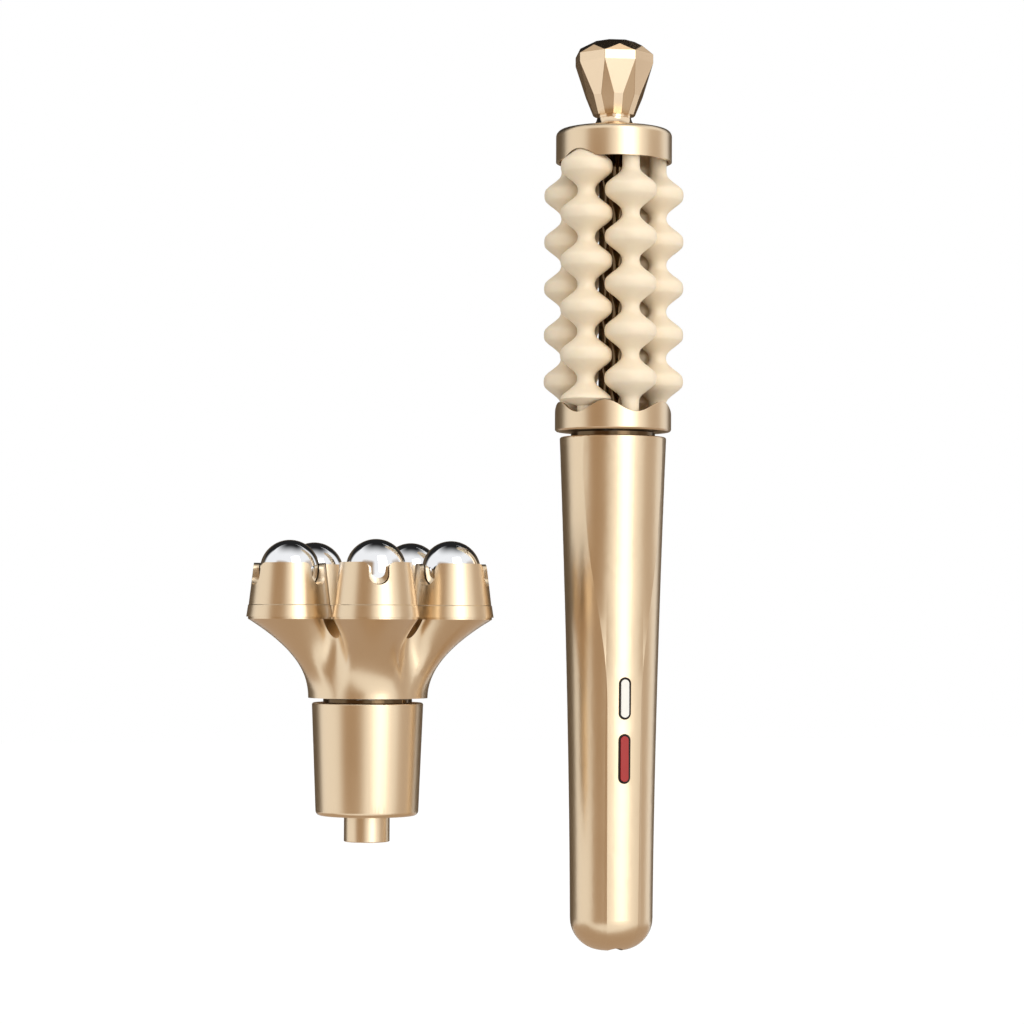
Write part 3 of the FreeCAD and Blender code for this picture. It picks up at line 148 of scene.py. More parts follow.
class MassagerFinishes(bpy.types.PropertyGroup):
    """Colours, gloss and small forms of the finishes."""

    satin_gold: bpy.props.FloatVectorProperty(
        name="Satin gold", description="Colour of the satin shells", subtype="COLOR",
        size=4, default=(0.78, 0.60, 0.378, 1.0))
    satin_roughness: bpy.props.FloatProperty(
        name="Satin roughness", description="How soft the shells' reflections are", subtype="FACTOR",
        min=0.0, max=1.0, default=0.3)
    polished_gold: bpy.props.FloatVectorProperty(
        name="Polished gold", description="Colour of the knob and its neck", subtype="COLOR",
        size=4, default=(0.84, 0.66, 0.46, 1.0))
    # Painted shade: this colour multiplies the knob's small facets to darken them.
    painted_facet_shade: bpy.props.FloatVectorProperty(
        name="Facet shade", description="Shade of the knob's small facets beside its large ones",
        subtype="COLOR", size=4, default=(0.66, 0.59, 0.51, 1.0))
    # Painted shade: this near-black gold stands for the shade in the grooves and between the rollers.
    shaded_gold: bpy.props.FloatVectorProperty(
        name="Shaded gold", description="Colour of the column and of the necks in the grooves",
        subtype="COLOR", size=4, default=(0.13, 0.085, 0.045, 1.0))
    cream: bpy.props.FloatVectorProperty(
        name="Cream silicone", description="Colour of the rollers", subtype="COLOR",
        size=4, default=(0.90, 0.76, 0.56, 1.0))
    chrome: bpy.props.FloatVectorProperty(
        name="Chrome", description="Colour of the balls", subtype="COLOR",
        size=4, default=(0.86, 0.87, 0.89, 1.0))
    red: bpy.props.FloatVectorProperty(
        name="Red button", description="Colour of the lower button", subtype="COLOR",
        size=4, default=(0.40, 0.02, 0.016, 1.0))
    ivory: bpy.props.FloatVectorProperty(
        name="Ivory button", description="Colour of the upper button", subtype="COLOR",
        size=4, default=(0.87, 0.83, 0.75, 1.0))
    shell_edge: bpy.props.FloatProperty(
        name="Shell edge", description="Rounding on the edges of the rings, the sleeve, the pin and the cups",
        subtype="DISTANCE", unit="LENGTH", default=0.00022)
    knob_edge: bpy.props.FloatProperty(
        name="Knob edge", description="Rounding on the edges between the knob's facets",
        subtype="DISTANCE", unit="LENGTH", default=0.00012)
    panel_half: bpy.props.FloatProperty(
        name="Panel half", description="Half the width of the handle's front panel",
        subtype="DISTANCE", unit="LENGTH", default=0.0046)
    panel_rise: bpy.props.FloatProperty(
        name="Panel rise", description="How much rounder than its surface the front panel's sheen is",
        subtype="DISTANCE", unit="LENGTH", default=0.00034)
    lip_wide: bpy.props.FloatProperty(
        name="Lip width", description="How far the buttons' frames reach over the panel",
        subtype="DISTANCE", unit="LENGTH", default=0.00017)
    lip_proud: bpy.props.FloatProperty(
        name="Lip height", description="How far the buttons' frames stand out of the panel",
        subtype="DISTANCE", unit="LENGTH", default=0.00006)
    roller_neck: bpy.props.FloatProperty(
        name="Roller neck", description="Radius of the rollers between two lobes",
        subtype="DISTANCE", unit="LENGTH", default=0.0021)
    lobe_swell: bpy.props.FloatProperty(
        name="Lobe swell", description="How far the rollers' lobes swell beyond a plain cone",
        subtype="DISTANCE", unit="LENGTH", default=0.0003)


class MassagerStudio(bpy.types.PropertyGroup):
    """Sizes and levels of the studio."""

    floor_drop: bpy.props.FloatProperty(
        name="Floor drop", description="How far the floor lies under the wand's tail",
        subtype="DISTANCE", unit="LENGTH", default=0.2)
    sky_level: bpy.props.FloatProperty(
        name="Sky level", description="Strength of the white surroundings on matt surfaces", default=0.84)
    key_power: bpy.props.FloatProperty(
        name="Key power", description="Power of the tall lamp beside the camera, which the shells reflect",
        subtype="POWER", unit="POWER", default=5.2)
    fill_power: bpy.props.FloatProperty(
        name="Fill power", description="Power of the wide lamp there, which reflections leave out",
        subtype="POWER", unit="POWER", default=6.0)
    flag_level: bpy.props.FloatProperty(
        name="Flag level", description="Brightness of the tan cards beside the camera",
        subtype="FACTOR", min=0.0, max=1.0, default=0.42)
    back_level: bpy.props.FloatProperty(
        name="Back level", description="Brightness of the dark card behind, which darkens every outline",
        subtype="FACTOR", min=0.0, max=1.0, default=0.11)
    ceiling_level: bpy.props.FloatProperty(
        name="Ceiling level", description="Brightness of the card above, which darkens the balls' tops",
        subtype="FACTOR", min=0.0, max=1.0, default=0.02)
    card_distance: bpy.props.FloatProperty(
        name="Card distance", description="How far the upright cards stand from the wand",
        subtype="DISTANCE", unit="LENGTH", default=0.75)


def only(thing):
    """Select one object alone and make it active."""
    bpy.ops.object.select_all(action="DESELECT")
    thing.select_set(True)
    bpy.context.view_layer.objects.active = thing


def shader_of(material):
    """The main shader of a finish."""
    return material.node_tree.nodes["Principled BSDF"]


def remap(tree, source, start, end, first, last):
    """A value that goes from first to last while another goes from start to end."""
    node = tree.nodes.new("ShaderNodeMapRange")
    node.inputs["From Min"].default_value = start
    node.inputs["From Max"].default_value = end
    node.inputs["To Min"].default_value = first
    node.inputs["To Max"].default_value = last
    tree.links.new(source, node.inputs["Value"])
    return node.outputs["Result"]


def combine(tree, operation, first, second):
    """Two values joined by a sum, a product or the like."""
    node = tree.nodes.new("ShaderNodeMath")
    node.operation = operation
    tree.links.new(first, node.inputs[0])
    tree.links.new(second, node.inputs[1])
    return node.outputs["Value"]


def speckle(tree, place, scale, detail):
    """Fine noise over a piece, in its own coordinates."""
    noise = tree.nodes.new("ShaderNodeTexNoise")
    noise.inputs["Scale"].default_value = scale
    noise.inputs["Detail"].default_value = detail
    noise.inputs["Roughness"].default_value = 0.55
    tree.links.new(place.outputs["Object"], noise.inputs["Vector"])
    return noise.outputs["Fac"]


def tint(tree, noise, socket, colour, depth):
    """Let noise shade a colour a little darker and lighter."""
    ramp = tree.nodes.new("ShaderNodeValToRGB")
    ramp.color_ramp.interpolation = "EASE"
    for element, factor in zip(ramp.color_ramp.elements, (1.0 - depth, 1.0 + depth * 0.5)):
        element.color = [min(channel * factor, 1.0) for channel in colour[:3]] + [1.0]
    tree.links.new(noise, ramp.inputs["Fac"])
    tree.links.new(ramp.outputs["Color"], socket)


def grain(tree, noise, shader, strength, distance):
    """A fine grain in the surface."""
    bump = tree.nodes.new("ShaderNodeBump")
    bump.inputs["Strength"].default_value = strength
    bump.inputs["Distance"].default_value = distance
    tree.links.new(noise, bump.inputs["Height"])
    tree.links.new(bump.outputs["Normal"], shader.inputs["Normal"])


def finish(name, colour, gloss, depth, patch, fleck, strength, rise):
    """A material with a mottled colour, uneven gloss and a fine grain."""
    material = bpy.data.materials.new(name)
    material.use_nodes = True
    tree = material.node_tree
    shader = shader_of(material)
    place = tree.nodes.new("ShaderNodeTexCoord")
    cloud = speckle(tree, place, patch, detail=3.0)
    tint(tree, cloud, shader.inputs["Base Color"], colour, depth)
    tree.links.new(remap(tree, cloud, 0.0, 1.0, *gloss), shader.inputs["Roughness"])
    dust = speckle(tree, place, fleck, detail=2.0)
    grain(tree, dust, shader, strength, rise)
    return material


def metal_finish(name, colour, gloss, depth, patch, fleck, rise):
    """A metal."""
    material = finish(name, colour, gloss, depth, patch, fleck, METAL_GRAIN, rise)
    shader_of(material).inputs["Metallic"].default_value = 1.0
    return material


def moulded_finish(name, colour, gloss, depth, fleck, rise):
    """A moulded plastic or rubber."""
    return finish(name, colour, gloss, depth, fleck / MOULDED_MOTTLE, fleck, MOULDED_GRAIN, rise)


def wear(names, material):
    """Give CAD nodes a finish."""
    for name in names:
        slots = NODES[name].data.materials
        slots.clear()
        slots.append(material)


def copy_of_node(node, name):
    """A piece that starts as a clean copy of a CAD node, with its flat faces joined."""
    piece = NODES[node].copy()
    piece.data = NODES[node].data.copy()
    piece.name = name
    piece.data.name = name
    piece.parent = None
    for key in list(piece.keys()):
        del piece[key]
    bpy.context.scene.collection.objects.link(piece)
    only(piece)
    bpy.ops.mesh.customdata_custom_splitnormals_clear()
    bpy.ops.object.mode_set(mode="EDIT")
    bpy.ops.mesh.select_all(action="SELECT")
    bpy.ops.mesh.remove_doubles(threshold=MERGE_DISTANCE)
    bpy.ops.mesh.dissolve_limited(angle_limit=math.radians(FLAT_ANGLE))
    bpy.ops.object.mode_set(mode="OBJECT")
    return piece


def soften_edges(piece, width, angle):
    """Round a piece's edges that are sharper than an angle, and keep its faces as smooth as they were."""
    only(piece)
    bpy.ops.object.shade_smooth_by_angle(angle=math.radians(angle))
    bevel = piece.modifiers.new("edge", "BEVEL")
    bevel.width = width
    bevel.segments = EDGE_SEGMENTS
    bevel.limit_method = "ANGLE"
    bevel.angle_limit = math.radians(angle)
    bevel.use_clamp_overlap = True
    bevel.harden_normals = True
    bpy.ops.object.modifier_apply(modifier=bevel.name)


def stand_for(piece, node, material):
    """Let a piece take a CAD node's place, its motion and a finish."""
    piece.data.materials.clear()
    piece.data.materials.append(material)
    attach(piece, BODY_OF[node])
    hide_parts(node)


def soft_copy(node, name, material, width):
    """A copy of a CAD node with softened edges, which stands for the node."""
    piece = copy_of_node(node, name)
    soften_edges(piece, width, SHARP_ANGLE)
    stand_for(piece, node, material)


def satin_shell(looks):
    """The lacquered satin gold of the shells, made once."""
    material = bpy.data.materials.get("satin_shell")
    if material is None:
        middle = looks.satin_roughness
        material = metal_finish("satin_shell", looks.satin_gold, gloss=(middle - 0.03, middle + 0.03),
                                depth=0.02, patch=60.0, fleck=9000.0, rise=0.000004)
        lacquer = shader_of(material).inputs
        lacquer["Coat Weight"].default_value = 1.0
        lacquer["Coat Roughness"].default_value = 0.26
        lacquer["Coat IOR"].default_value = 1.9
    return material


class MASSAGER_OT_handle(bpy.types.Operator):
    """Give the handle its satin gold, with a rounder sheen across its panel"""

    bl_idname = "massager.handle"
    bl_label = "Handle"

    def execute(self, context):
        looks = context.scene.massager_finishes
        material = satin_shell(looks).copy()
        material.name = "panel_shell"
        self.round_sheen(material, looks)
        wear(["handle_shell"], material)
        return {"FINISHED"}

    def round_sheen(self, material, looks):
        """Shade the front panel as if its middle stood out a little more, so that its sheen is narrower."""
        tree = material.node_tree
        axes = tree.nodes.new("ShaderNodeSeparateXYZ")
        tree.links.new(tree.nodes["Texture Coordinate"].outputs["Object"], axes.inputs["Vector"])
        square = combine(tree, "MULTIPLY", axes.outputs["X"], axes.outputs["X"])
        dome = remap(tree, square, 0.0, looks.panel_half ** 2, looks.panel_rise, 0.0)
        fade = remap(tree, axes.outputs["Z"], *PANEL_FADE, 1.0, 0.0)
        front = remap(tree, axes.outputs["Y"], -looks.panel_half, 0.0, 1.0, 0.0)
        height = combine(tree, "MULTIPLY", combine(tree, "MULTIPLY", dome, fade), front)
        bump = tree.nodes.new("ShaderNodeBump")
        bump.inputs["Distance"].default_value = 1.0
        tree.links.new(height, bump.inputs["Height"])
        tree.links.new(bump.outputs["Normal"], tree.nodes["Bump"].inputs["Normal"])
        tree.links.new(bump.outputs["Normal"], shader_of(material).inputs["Coat Normal"])


class MASSAGER_OT_rings(bpy.types.Operator):
    """Soften the edges of the two rings that hold the rollers"""

    bl_idname = "massager.rings"
    bl_label = "Roller rings"

    def execute(self, context):
        looks = context.scene.massager_finishes
        for node, name in (("upper_ring", "ring_over_rollers"), ("lower_ring", "ring_under_rollers")):
            soft_copy(node, name, satin_shell(looks), looks.shell_edge)
        return {"FINISHED"}


class MASSAGER_OT_knob(bpy.types.Operator):
    """Polish the knob, with fine edges between its facets and painted shade on its small ones, and its neck
    """

    bl_idname = "massager.knob"
    bl_label = "Knob"

    def execute(self, context):
        looks = context.scene.massager_finishes
        knob = copy_of_node("faceted_knob", "knob_cut")
        self.mark_facets(knob)
        soften_edges(knob, looks.knob_edge, FACET_ANGLE)
        stand_for(knob, "faceted_knob", self.cut_gold_painted_shade(looks))
        neck = metal_finish("polished_trim", looks.polished_gold, gloss=(0.06, 0.10),
                            depth=0.03, patch=90.0, fleck=6000.0, rise=0.000001)
        wear(["knob_neck"], neck)
        return {"FINISHED"}

    def mark_facets(self, knob):
        """Note on each face whether it is a small three-sided facet, or stands under one; these faces get
        painted shade.
        """
        faces = knob.data.polygons
        small = [face for face in faces if len(face.vertices) == 3]
        columns = [face.normal.to_2d().normalized() for face in small if face.normal.z < 0.0]
        mark = knob.data.attributes.new("painted_shade_facet", "FLOAT", "FACE")
        for face, entry in zip(faces, mark.data):
            level = face.normal.to_2d()
            under = face.normal.z < 0.0 and any(level.dot(column) > SAME_COLUMN for column in columns)
            entry.value = 1.0 if len(face.vertices) == 3 or under else 0.0

    def cut_gold_painted_shade(self, looks):
        """Softly polished gold, with painted shade that darkens the small facets."""
        material = metal_finish("cut_gold_painted_shade", looks.polished_gold, gloss=(0.18, 0.24),
                                depth=0.03, patch=90.0, fleck=6000.0, rise=0.000001)
        tree = material.node_tree
        socket = shader_of(material).inputs["Base Color"]
        # Painted shade: the marked facets' colour is multiplied by the darker facet colour.
        mark = tree.nodes.new("ShaderNodeAttribute")
        mark.attribute_name = "painted_shade_facet"
        shade = tree.nodes.new("ShaderNodeMix")
        shade.data_type = "RGBA"
        shade.blend_type = "MULTIPLY"
        shade.inputs["B"].default_value = looks.painted_facet_shade
        tree.links.new(mark.outputs["Fac"], shade.inputs["Factor"])
        tree.links.new(socket.links[0].from_socket, shade.inputs["A"])
        tree.links.new(shade.outputs["Result"], socket)
        return material


class MASSAGER_OT_necks(bpy.types.Operator):
    """Give the column between the rollers and the necks in the grooves a polish darkened by painted shade"""

    bl_idname = "massager.necks"
    bl_label = "Column and necks"

    def execute(self, context):
        looks = context.scene.massager_finishes
        # Painted shade: the near-black base colour darkens the column and the necks where they sit in shade.
        polish = metal_finish("painted_shade_polish", looks.shaded_gold, gloss=(0.05, 0.09),
                              depth=0.05, patch=90.0, fleck=6000.0, rise=0.000001)
        wear(NECK_NODES, polish)
        return {"FINISHED"}


class MASSAGER_OT_rollers(bpy.types.Operator):
    """Swell the lobes of the rollers and give them their cream silicone"""

    bl_idname = "massager.rollers"
    bl_label = "Silicone rollers"

    def execute(self, context):
        looks = context.scene.massager_finishes
        material = self.silicone(looks)
        for node in ROLLER_NODES:
            piece = copy_of_node(node, f"wavy_{node}")
            low, high = (Vector(corner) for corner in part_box(node))
            middle = ((low + high) / 2).to_2d()
            self.cut_flanks(piece, middle, looks.roller_neck)
            self.swell(piece, middle, looks.roller_neck, (high.x - low.x) / 2, looks.lobe_swell)
            bpy.ops.object.shade_smooth_by_angle(angle=math.radians(LOBE_SMOOTH_ANGLE))
            stand_for(piece, node, material)
        return {"FINISHED"}

    def silicone(self, looks):
        """Matt silicone that lets a little light in."""
        material = moulded_finish("roller_silicone", looks.cream, gloss=(0.40, 0.50),
                                  depth=0.03, fleck=7000.0, rise=0.000004)
        shader = shader_of(material)
        shader.inputs["Subsurface Weight"].default_value = 0.18
        shader.inputs["Subsurface Radius"].default_value = (1.0, 0.6, 0.3)
        shader.inputs["Subsurface Scale"].default_value = 0.0015
        shader.inputs["Specular IOR Level"].default_value = 0.4
        return material

    def cut_flanks(self, piece, middle, neck):
        """Divide the long straight edges between lobe and neck."""
        reach = [(vertex.co.to_2d() - middle).length for vertex in piece.data.vertices]
        bpy.ops.object.mode_set(mode="EDIT")
        bpy.ops.mesh.select_mode(type="EDGE")
        bpy.ops.mesh.select_all(action="DESELECT")
        bpy.ops.object.mode_set(mode="OBJECT")
        for edge in piece.data.edges:
            first, second = (reach[k] for k in edge.vertices)
            edge.select = min(first, second) > FLANK_START * neck and abs(first - second) > FLANK_SPAN * neck
        bpy.ops.object.mode_set(mode="EDIT")
        bpy.ops.mesh.subdivide(number_cuts=FLANK_CUTS)
        bpy.ops.object.mode_set(mode="OBJECT")

    def swell(self, piece, middle, neck, lobe, swell):
        """Round the lobes: the swelling starts beyond the neck and ends at the lobe's tip."""
        for vertex in piece.data.vertices:
            arm = vertex.co.to_2d() - middle
            share = (arm.length - neck) / (lobe - neck)
            if LOBE_START < share < 1.0:
                rise = ((share - LOBE_START) / (1.0 - LOBE_START)) ** LOBE_LEAN
                arm *= 1.0 + swell * math.sin(math.pi * rise) / arm.length
                vertex.co.x, vertex.co.y = middle + arm


class MASSAGER_OT_ball_head(bpy.types.Operator):
    """Soften the edges of the ball head's sleeve and pin, and give its crown the satin gold"""

    bl_idname = "massager.ball_head"
    bl_label = "Ball head"

    def execute(self, context):
        looks = context.scene.massager_finishes
        soft_copy("ball_sleeve", "head_sleeve", satin_shell(looks), looks.shell_edge)
        soft_copy("ball_plug", "head_pin", satin_shell(looks), looks.shell_edge)
        wear(["crown"], satin_shell(looks))
        return {"FINISHED"}


class MASSAGER_OT_cups(bpy.types.Operator):
    """Soften the edges of the claw cups that hold the balls"""

    bl_idname = "massager.cups"
    bl_label = "Claw cups"

    def execute(self, context):
        looks = context.scene.massager_finishes
        for node in CUP_NODES:
            soft_copy(node, f"claw_{node}", satin_shell(looks), looks.shell_edge)
        return {"FINISHED"}


class MASSAGER_OT_balls(bpy.types.Operator):
    """Give the balls their mirror polish"""

    bl_idname = "massager.balls"
    bl_label = "Polished balls"

    def execute(self, context):
        looks = context.scene.massager_finishes
        mirror = metal_finish("mirror_chrome", looks.chrome, gloss=(0.03, 0.06),
                              depth=0.02, patch=200.0, fleck=5000.0, rise=0.0000004)
        wear(BALL_NODES, mirror)
        return {"FINISHED"}


class MASSAGER_OT_buttons(bpy.types.Operator):
    """Give the two buttons their gloss"""

    bl_idname = "massager.buttons"
    bl_label = "Buttons"

    def execute(self, context):
        looks = context.scene.massager_finishes
        ivory = moulded_finish("ivory_gloss", looks.ivory, gloss=(0.22, 0.30),
                               depth=0.03, fleck=5000.0, rise=0.000001)
        wear(["power_button"], ivory)
        red = moulded_finish("red_gloss", looks.red, gloss=(0.25, 0.35),
                             depth=0.06, fleck=5000.0, rise=0.000001)
        shader_of(red).inputs["Specular IOR Level"].default_value = 0.3
        wear(["mode_button"], red)
        return {"FINISHED"}


class MASSAGER_OT_frames(bpy.types.Operator):
    """Give the buttons' frames a dark lip that lies on the panel"""

    bl_idname = "massager.frames"
    bl_label = "Button frames"

    def execute(self, context):
        looks = context.scene.massager_finishes
        piece = copy_of_node("button_bezels", "button_frames")
        for button in BUTTON_NODES:
            self.spread_lip(piece, button, looks)
        bpy.ops.object.shade_smooth_by_angle(angle=math.radians(SHARP_ANGLE))
        dark = moulded_finish("frame_black", (0.018, 0.010, 0.007), gloss=(0.45, 0.6),
                              depth=0.15, fleck=3000.0, rise=0.00001)
        shader_of(dark).inputs["Specular IOR Level"].default_value = 0.2
        stand_for(piece, "button_bezels", dark)
        return {"FINISHED"}

    def spread_lip(self, piece, button, looks):
        """Bring the front of one button's frame out to the panel and spread its outer edge."""
        low, high = (Vector(corner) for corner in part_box(button))
        points = [vertex.co for vertex in piece.data.vertices if low.z < vertex.co.z < high.z]
        front = min(point.y for point in points)
        half_wide = max(point.x for point in points)
        top = max(point.z for point in points)
        bottom = min(point.z for point in points)
        middle = (top + bottom) / 2
        straight = (top - bottom) / 2 - half_wide
        for point in [point for point in points if point.y < front + looks.lip_proud]:
            # The nearest place on the line between the centres of the frame's two round ends.
            spine = max(-straight, min(straight, point.z - middle))
            arm = Vector((point.x, 0.0, point.z - middle - spine))
            reach = arm.normalized() * (half_wide + looks.lip_wide)
            # A ray from well in front of the handle finds the panel behind the lip's outer edge.
            outer = Vector((reach.x, 2 * front, middle + spine + reach.z))
            found, panel, _, _ = NODES["handle_shell"].ray_cast(outer, Vector((0.0, 1.0, 0.0)))
            if found and arm.length > half_wide - looks.lip_wide / 2:
                point.x, point.z = outer.x, outer.z
            if found:
                point.y = panel.y - looks.lip_proud


class MASSAGER_OT_inside(bpy.types.Operator):
    """Give what the shells hold its steel, plastic, boards, bronze and wrap"""

    bl_idname = "massager.inside"
    bl_label = "Inner parts"

    def execute(self, context):
        steel = metal_finish("machined_steel", (0.52, 0.52, 0.53), gloss=(0.25, 0.38),
                             depth=0.08, patch=300.0, fleck=5000.0, rise=0.000003)
        wear(STEEL_NODES, steel)
        black = moulded_finish("black_plastic", (0.012, 0.012, 0.013), gloss=(0.45, 0.6),
                               depth=0.15, fleck=3000.0, rise=0.00001)
        wear(MOULDED_NODES, black)
        mask = moulded_finish("solder_mask", (0.01, 0.10, 0.04), gloss=(0.25, 0.4),
                              depth=0.2, fleck=4000.0, rise=0.000005)
        wear(BOARD_NODES, mask)
        bronze = metal_finish("sintered_bronze", (0.42, 0.24, 0.09), gloss=(0.3, 0.45),
                              depth=0.15, patch=600.0, fleck=6000.0, rise=0.000006)
        wear(BUSH_NODES, bronze)
        wrap = moulded_finish("shrink_wrap", (0.03, 0.09, 0.23), gloss=(0.3, 0.4),
                              depth=0.1, fleck=2000.0, rise=0.000004)
        wear(["battery_cell"], wrap)
        return {"FINISHED"}


def studio_spot(azimuth, distance, height):
    """A place in the studio, at an angle to the right of the line from wand to camera."""
    angle = math.radians(VIEW_ANGLE + azimuth)
    return Vector((distance * math.cos(angle), distance * math.sin(angle), height))


def facing(spot, target):
    """The turn that points an object's -Z from a spot to a target."""
    return (target - spot).to_track_quat("-Z", "Y").to_euler()


def paler(colour, white):
    """A colour with a share of white in it."""
    return [white + (1.0 - white) * channel for channel in colour]


def seen_rays(tree):
    """One for what the camera sees straight, by reflection or through a clear piece, and otherwise nought."""
    path = tree.nodes.new("ShaderNodeLightPath")
    seen = combine(tree, "MAXIMUM", path.outputs["Is Camera Ray"], path.outputs["Is Glossy Ray"])
    return combine(tree, "MAXIMUM", seen, path.outputs["Is Transmission Ray"])


class MASSAGER_OT_studio(bpy.types.Operator):
    """Set the floor, the white surroundings, the soft lamps, the cards and the camera"""

    bl_idname = "massager.studio"
    bl_label = "Studio"

    def execute(self, context):
        studio = context.scene.massager_studio
        self.surroundings(context, studio)
        self.floor(studio)
        self.lamps(studio)
        self.upright_cards(studio)
        self.level_cards(studio)
        self.camera(context)
        context.scene.view_settings.view_transform = "Standard"
        return {"FINISHED"}

    def surroundings(self, context, studio):
        """White all round, a little weaker as light on matt surfaces."""
        world = bpy.data.worlds.new("white_studio")
        context.scene.world = world
        world.use_nodes = True
        tree = world.node_tree
        sky = tree.nodes["Background"]
        sky.inputs["Color"].default_value = (*WHITE, 1.0)
        level = remap(tree, seen_rays(tree), 0.0, 1.0, studio.sky_level, 1.0)
        tree.links.new(level, sky.inputs["Strength"])

    def floor(self, studio):
        """A wide floor that looks white and still takes a shadow."""
        bpy.ops.object.select_all(action="DESELECT")
        bpy.ops.mesh.primitive_plane_add(size=FLOOR_SIZE, location=(0.0, 0.0, -studio.floor_drop))
        floor = bpy.context.object
        floor.name = "studio_floor"
        material = bpy.data.materials.new("pale_floor")
        material.use_nodes = True
        tree = material.node_tree
        matt = shader_of(material)
        matt.inputs["Base Color"].default_value = (FLOOR_SHADE, FLOOR_SHADE, FLOOR_SHADE, 1.0)
        matt.inputs["Roughness"].default_value = FLOOR_ROUGHNESS
        glow = tree.nodes.new("ShaderNodeEmission")
        glow.inputs["Strength"].default_value = FLOOR_GLOW
        share = remap(tree, seen_rays(tree), 0.0, 1.0, 0.0, FLOOR_GLOW_SHARE)
        mix = tree.nodes.new("ShaderNodeMixShader")
        tree.links.new(share, mix.inputs["Fac"])
        tree.links.new(matt.outputs["BSDF"], mix.inputs[1])
        tree.links.new(glow.outputs["Emission"], mix.inputs[2])
        tree.links.new(mix.outputs["Shader"], tree.nodes["Material Output"].inputs["Surface"])
        floor.data.materials.append(material)

    def lamps(self, studio):
        """A tall lamp that the metal reflects, and a wide one at its place that reflections leave out."""
        spot = studio_spot(LAMP_AZIMUTH, LAMP_DISTANCE, LAMP_HEIGHT)
        turn = facing(spot, Vector(LAMP_TARGET))
        for name, wide, power, reflected in (
                ("key_softbox", KEY_WIDE, studio.key_power, 1.0),
                ("fill_softbox", FILL_WIDE, studio.fill_power, 0.0),
        ):
            bpy.ops.object.light_add(type="AREA", location=spot, rotation=turn)
            lamp = bpy.context.object
            lamp.name = name
            lamp.data.shape = "RECTANGLE"
            lamp.data.size = wide
            lamp.data.size_y = LAMP_TALL
            lamp.data.energy = power
            lamp.data.specular_factor = reflected

    def card_finish(self, name, colour, fade, rise, top=WHITE):
        """A glowing card: white towards its sides, and another colour from a share of its height up."""
        material = bpy.data.materials.new(name)
        material.use_nodes = True
        tree = material.node_tree
        tree.nodes.remove(shader_of(material))
        place = tree.nodes.new("ShaderNodeTexCoord")
        axes = tree.nodes.new("ShaderNodeSeparateXYZ")
        tree.links.new(place.outputs["UV"], axes.inputs["Vector"])
        upward = tree.nodes.new("ShaderNodeMapRange")
        upward.interpolation_type = "SMOOTHSTEP"
        upward.inputs["From Min"].default_value = rise[0]
        upward.inputs["From Max"].default_value = rise[1]
        tree.links.new(axes.outputs["Y"], upward.inputs["Value"])
        blend = tree.nodes.new("ShaderNodeMix")
        blend.data_type = "RGBA"
        blend.inputs["A"].default_value = (*colour, 1.0)
        blend.inputs["B"].default_value = (*top, 1.0)
        tree.links.new(upward.outputs["Result"], blend.inputs["Factor"])
        across = tree.nodes.new("ShaderNodeValToRGB")
        across.color_ramp.interpolation = "EASE"
        for stop in (fade, 1.0 - fade):
            across.color_ramp.elements.new(stop).color = (0.0, 0.0, 0.0, 1.0)
        across.color_ramp.elements[0].color = (*WHITE, 1.0)
        across.color_ramp.elements[3].color = (*WHITE, 1.0)
        tree.links.new(axes.outputs["X"], across.inputs["Fac"])
        whiten = tree.nodes.new("ShaderNodeMix")
        whiten.data_type = "RGBA"
        whiten.inputs["B"].default_value = (*WHITE, 1.0)
        tree.links.new(across.outputs["Color"], whiten.inputs["Factor"])
        tree.links.new(blend.outputs["Result"], whiten.inputs["A"])
        glow = tree.nodes.new("ShaderNodeEmission")
        tree.links.new(whiten.outputs["Result"], glow.inputs["Color"])
        tree.links.new(glow.outputs["Emission"], tree.nodes["Material Output"].inputs["Surface"])
        return material

    def card(self, name, spot, turn, wide, tall, material):
        """A card that only reflections show."""
        bpy.ops.object.select_all(action="DESELECT")
        bpy.ops.mesh.primitive_plane_add(size=1.0, location=spot, rotation=turn)
        card = bpy.context.object
        card.name = name
        card.scale = (wide, tall, 1.0)
        card.data.materials.append(material)
        card.visible_camera = False
        card.visible_diffuse = False
        card.visible_shadow = False

    def upright_cards(self, studio):
        """Tan cards on both sides and a dark one behind, which give the metal its bands and dark outlines."""
        tan = [studio.flag_level * share for share in TAN_HUE]
        warm = [studio.back_level * share for share in WARM_HUE]
        black = [studio.ceiling_level] * 3
        side = self.card_finish("tan_card", tan, fade=0.27, rise=(0.7, 1.0))
        pale = self.card_finish("pale_card", paler(tan, RIGHT_FLAG_WHITE), fade=0.27, rise=(0.7, 1.0))
        back = self.card_finish("dark_card", warm, fade=0.2, rise=(0.29, 0.45), top=black)
        low = -studio.floor_drop
        for name, (azimuth, spread_angle, high), material in (
                ("left_flag", LEFT_FLAG, side),
                ("right_flag", RIGHT_FLAG, pale),
                ("back_card", BACK_CARD, back),
        ):
            spot = studio_spot(azimuth, studio.card_distance, (low + high) / 2)
            turn = facing(spot, Vector((0.0, 0.0, spot.z)))
            wide = 2 * studio.card_distance * math.tan(math.radians(spread_angle / 2))
            self.card(name, spot, turn, wide, high - low, material)

    def level_cards(self, studio):
        """A black card above for the balls, and a tan one on the floor behind for the undersides."""
        tan = [studio.flag_level * share for share in TAN_HUE]
        black = [studio.ceiling_level] * 3
        above = self.card_finish("ceiling_card", black, fade=0.4, rise=(0.12, 0.65))
        under = self.card_finish("floor_card", paler(tan, FLOOR_CARD_WHITE), fade=0.2, rise=(0.8, 1.0))
        level = math.radians(VIEW_ANGLE + 90.0)
        spot = studio_spot(0.0, CEILING_FORWARD, CEILING_HEIGHT)
        self.card("ceiling_card", spot, (math.pi, 0.0, level), *CEILING_CARD, above)
        spot = studio_spot(180.0, FLOOR_CARD_BACK, FLOOR_CARD_LIFT - studio.floor_drop)
        self.card("floor_card", spot, (0.0, 0.0, level), *FLOOR_CARD, under)

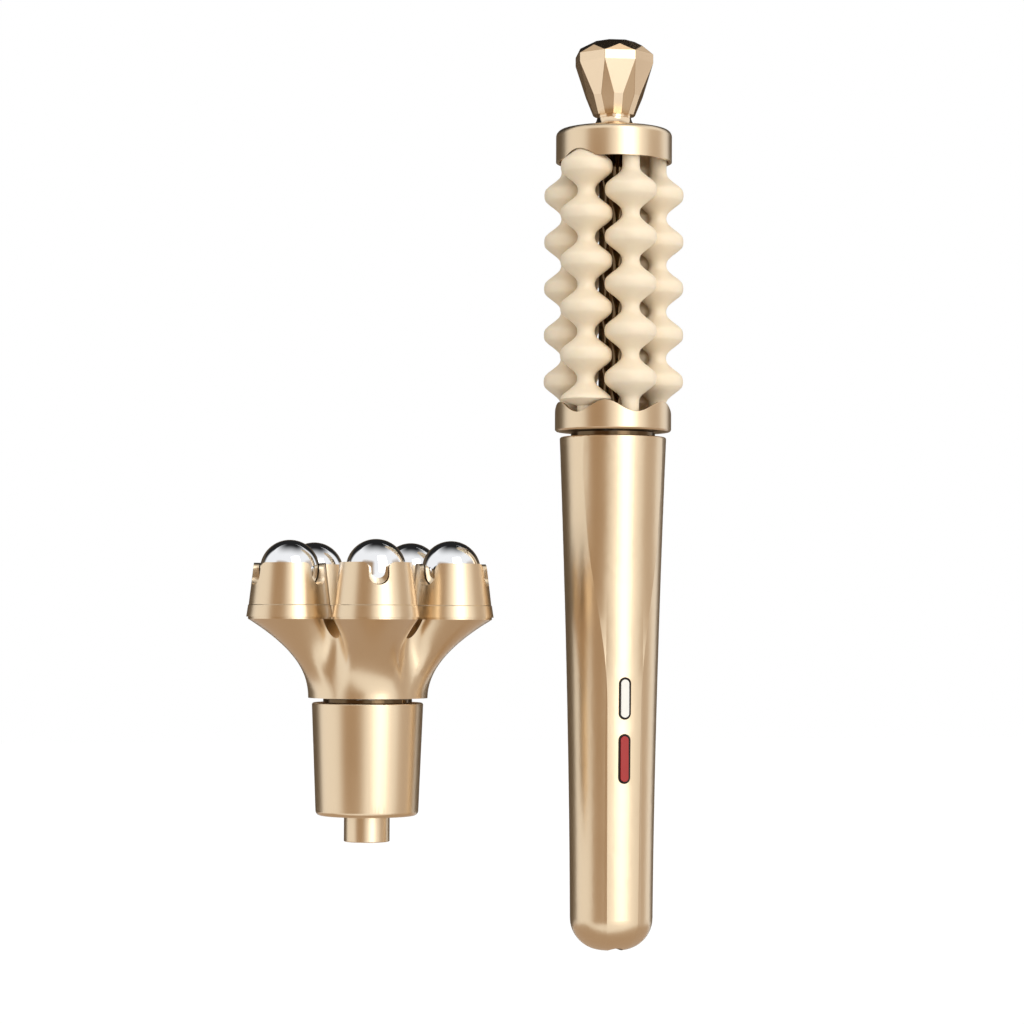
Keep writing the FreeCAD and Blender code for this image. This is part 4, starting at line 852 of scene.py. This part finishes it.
    def camera(self, context):
        """The camera at the photo's place."""
        data = bpy.data.cameras.new("photo_camera")
        data.sensor_width = SENSOR_WIDE_MM
        data.lens = CAMERA_LENS_MM
        camera = bpy.data.objects.new("photo_camera", data)
        context.scene.collection.objects.link(camera)
        camera.location = CAMERA_PLACE
        turn = Euler((math.radians(CAMERA_TILT), 0.0, math.radians(CAMERA_HEADING))).to_matrix()
        roll = Euler((0.0, 0.0, math.radians(CAMERA_ROLL))).to_matrix()
        camera.rotation_euler = (turn @ roll).to_euler()
        context.scene.camera = camera


class MASSAGER_PT_panel(bpy.types.Panel):
    """Lists the steps that dress the massager"""

    bl_idname = "MASSAGER_PT_panel"
    bl_label = "Massager"
    bl_space_type = "VIEW_3D"
    bl_region_type = "UI"
    bl_category = "Massager"

    def draw(self, context):
        for step in STEPS:
            self.layout.operator(step.bl_idname)
        for group in (context.scene.massager_finishes, context.scene.massager_studio):
            for name in group.bl_rna.properties.keys():
                if name not in ("rna_type", "name"):
                    self.layout.prop(group, name)


STEPS = (MASSAGER_OT_handle, MASSAGER_OT_rings, MASSAGER_OT_knob, MASSAGER_OT_necks, MASSAGER_OT_rollers,
         MASSAGER_OT_ball_head, MASSAGER_OT_cups, MASSAGER_OT_balls, MASSAGER_OT_buttons,
         MASSAGER_OT_frames, MASSAGER_OT_inside, MASSAGER_OT_studio)
CLASSES = (MassagerFinishes, MassagerStudio) + STEPS + (MASSAGER_PT_panel,)


def register():
    for item in CLASSES:
        bpy.utils.register_class(item)
    bpy.types.Scene.massager_finishes = bpy.props.PointerProperty(type=MassagerFinishes)
    bpy.types.Scene.massager_studio = bpy.props.PointerProperty(type=MassagerStudio)


def unregister():
    del bpy.types.Scene.massager_studio
    del bpy.types.Scene.massager_finishes
    for item in reversed(CLASSES):
        bpy.utils.unregister_class(item)


def main():
    """Dress the massager step by step."""
    register()
    bpy.ops.massager.handle()
    bpy.ops.massager.rings()
    bpy.ops.massager.knob()
    bpy.ops.massager.necks()
    bpy.ops.massager.rollers()
    bpy.ops.massager.ball_head()
    bpy.ops.massager.cups()
    bpy.ops.massager.balls()
    bpy.ops.massager.buttons()
    bpy.ops.massager.frames()
    bpy.ops.massager.inside()
    bpy.ops.massager.studio()


if __name__ == "__main__":
    main()
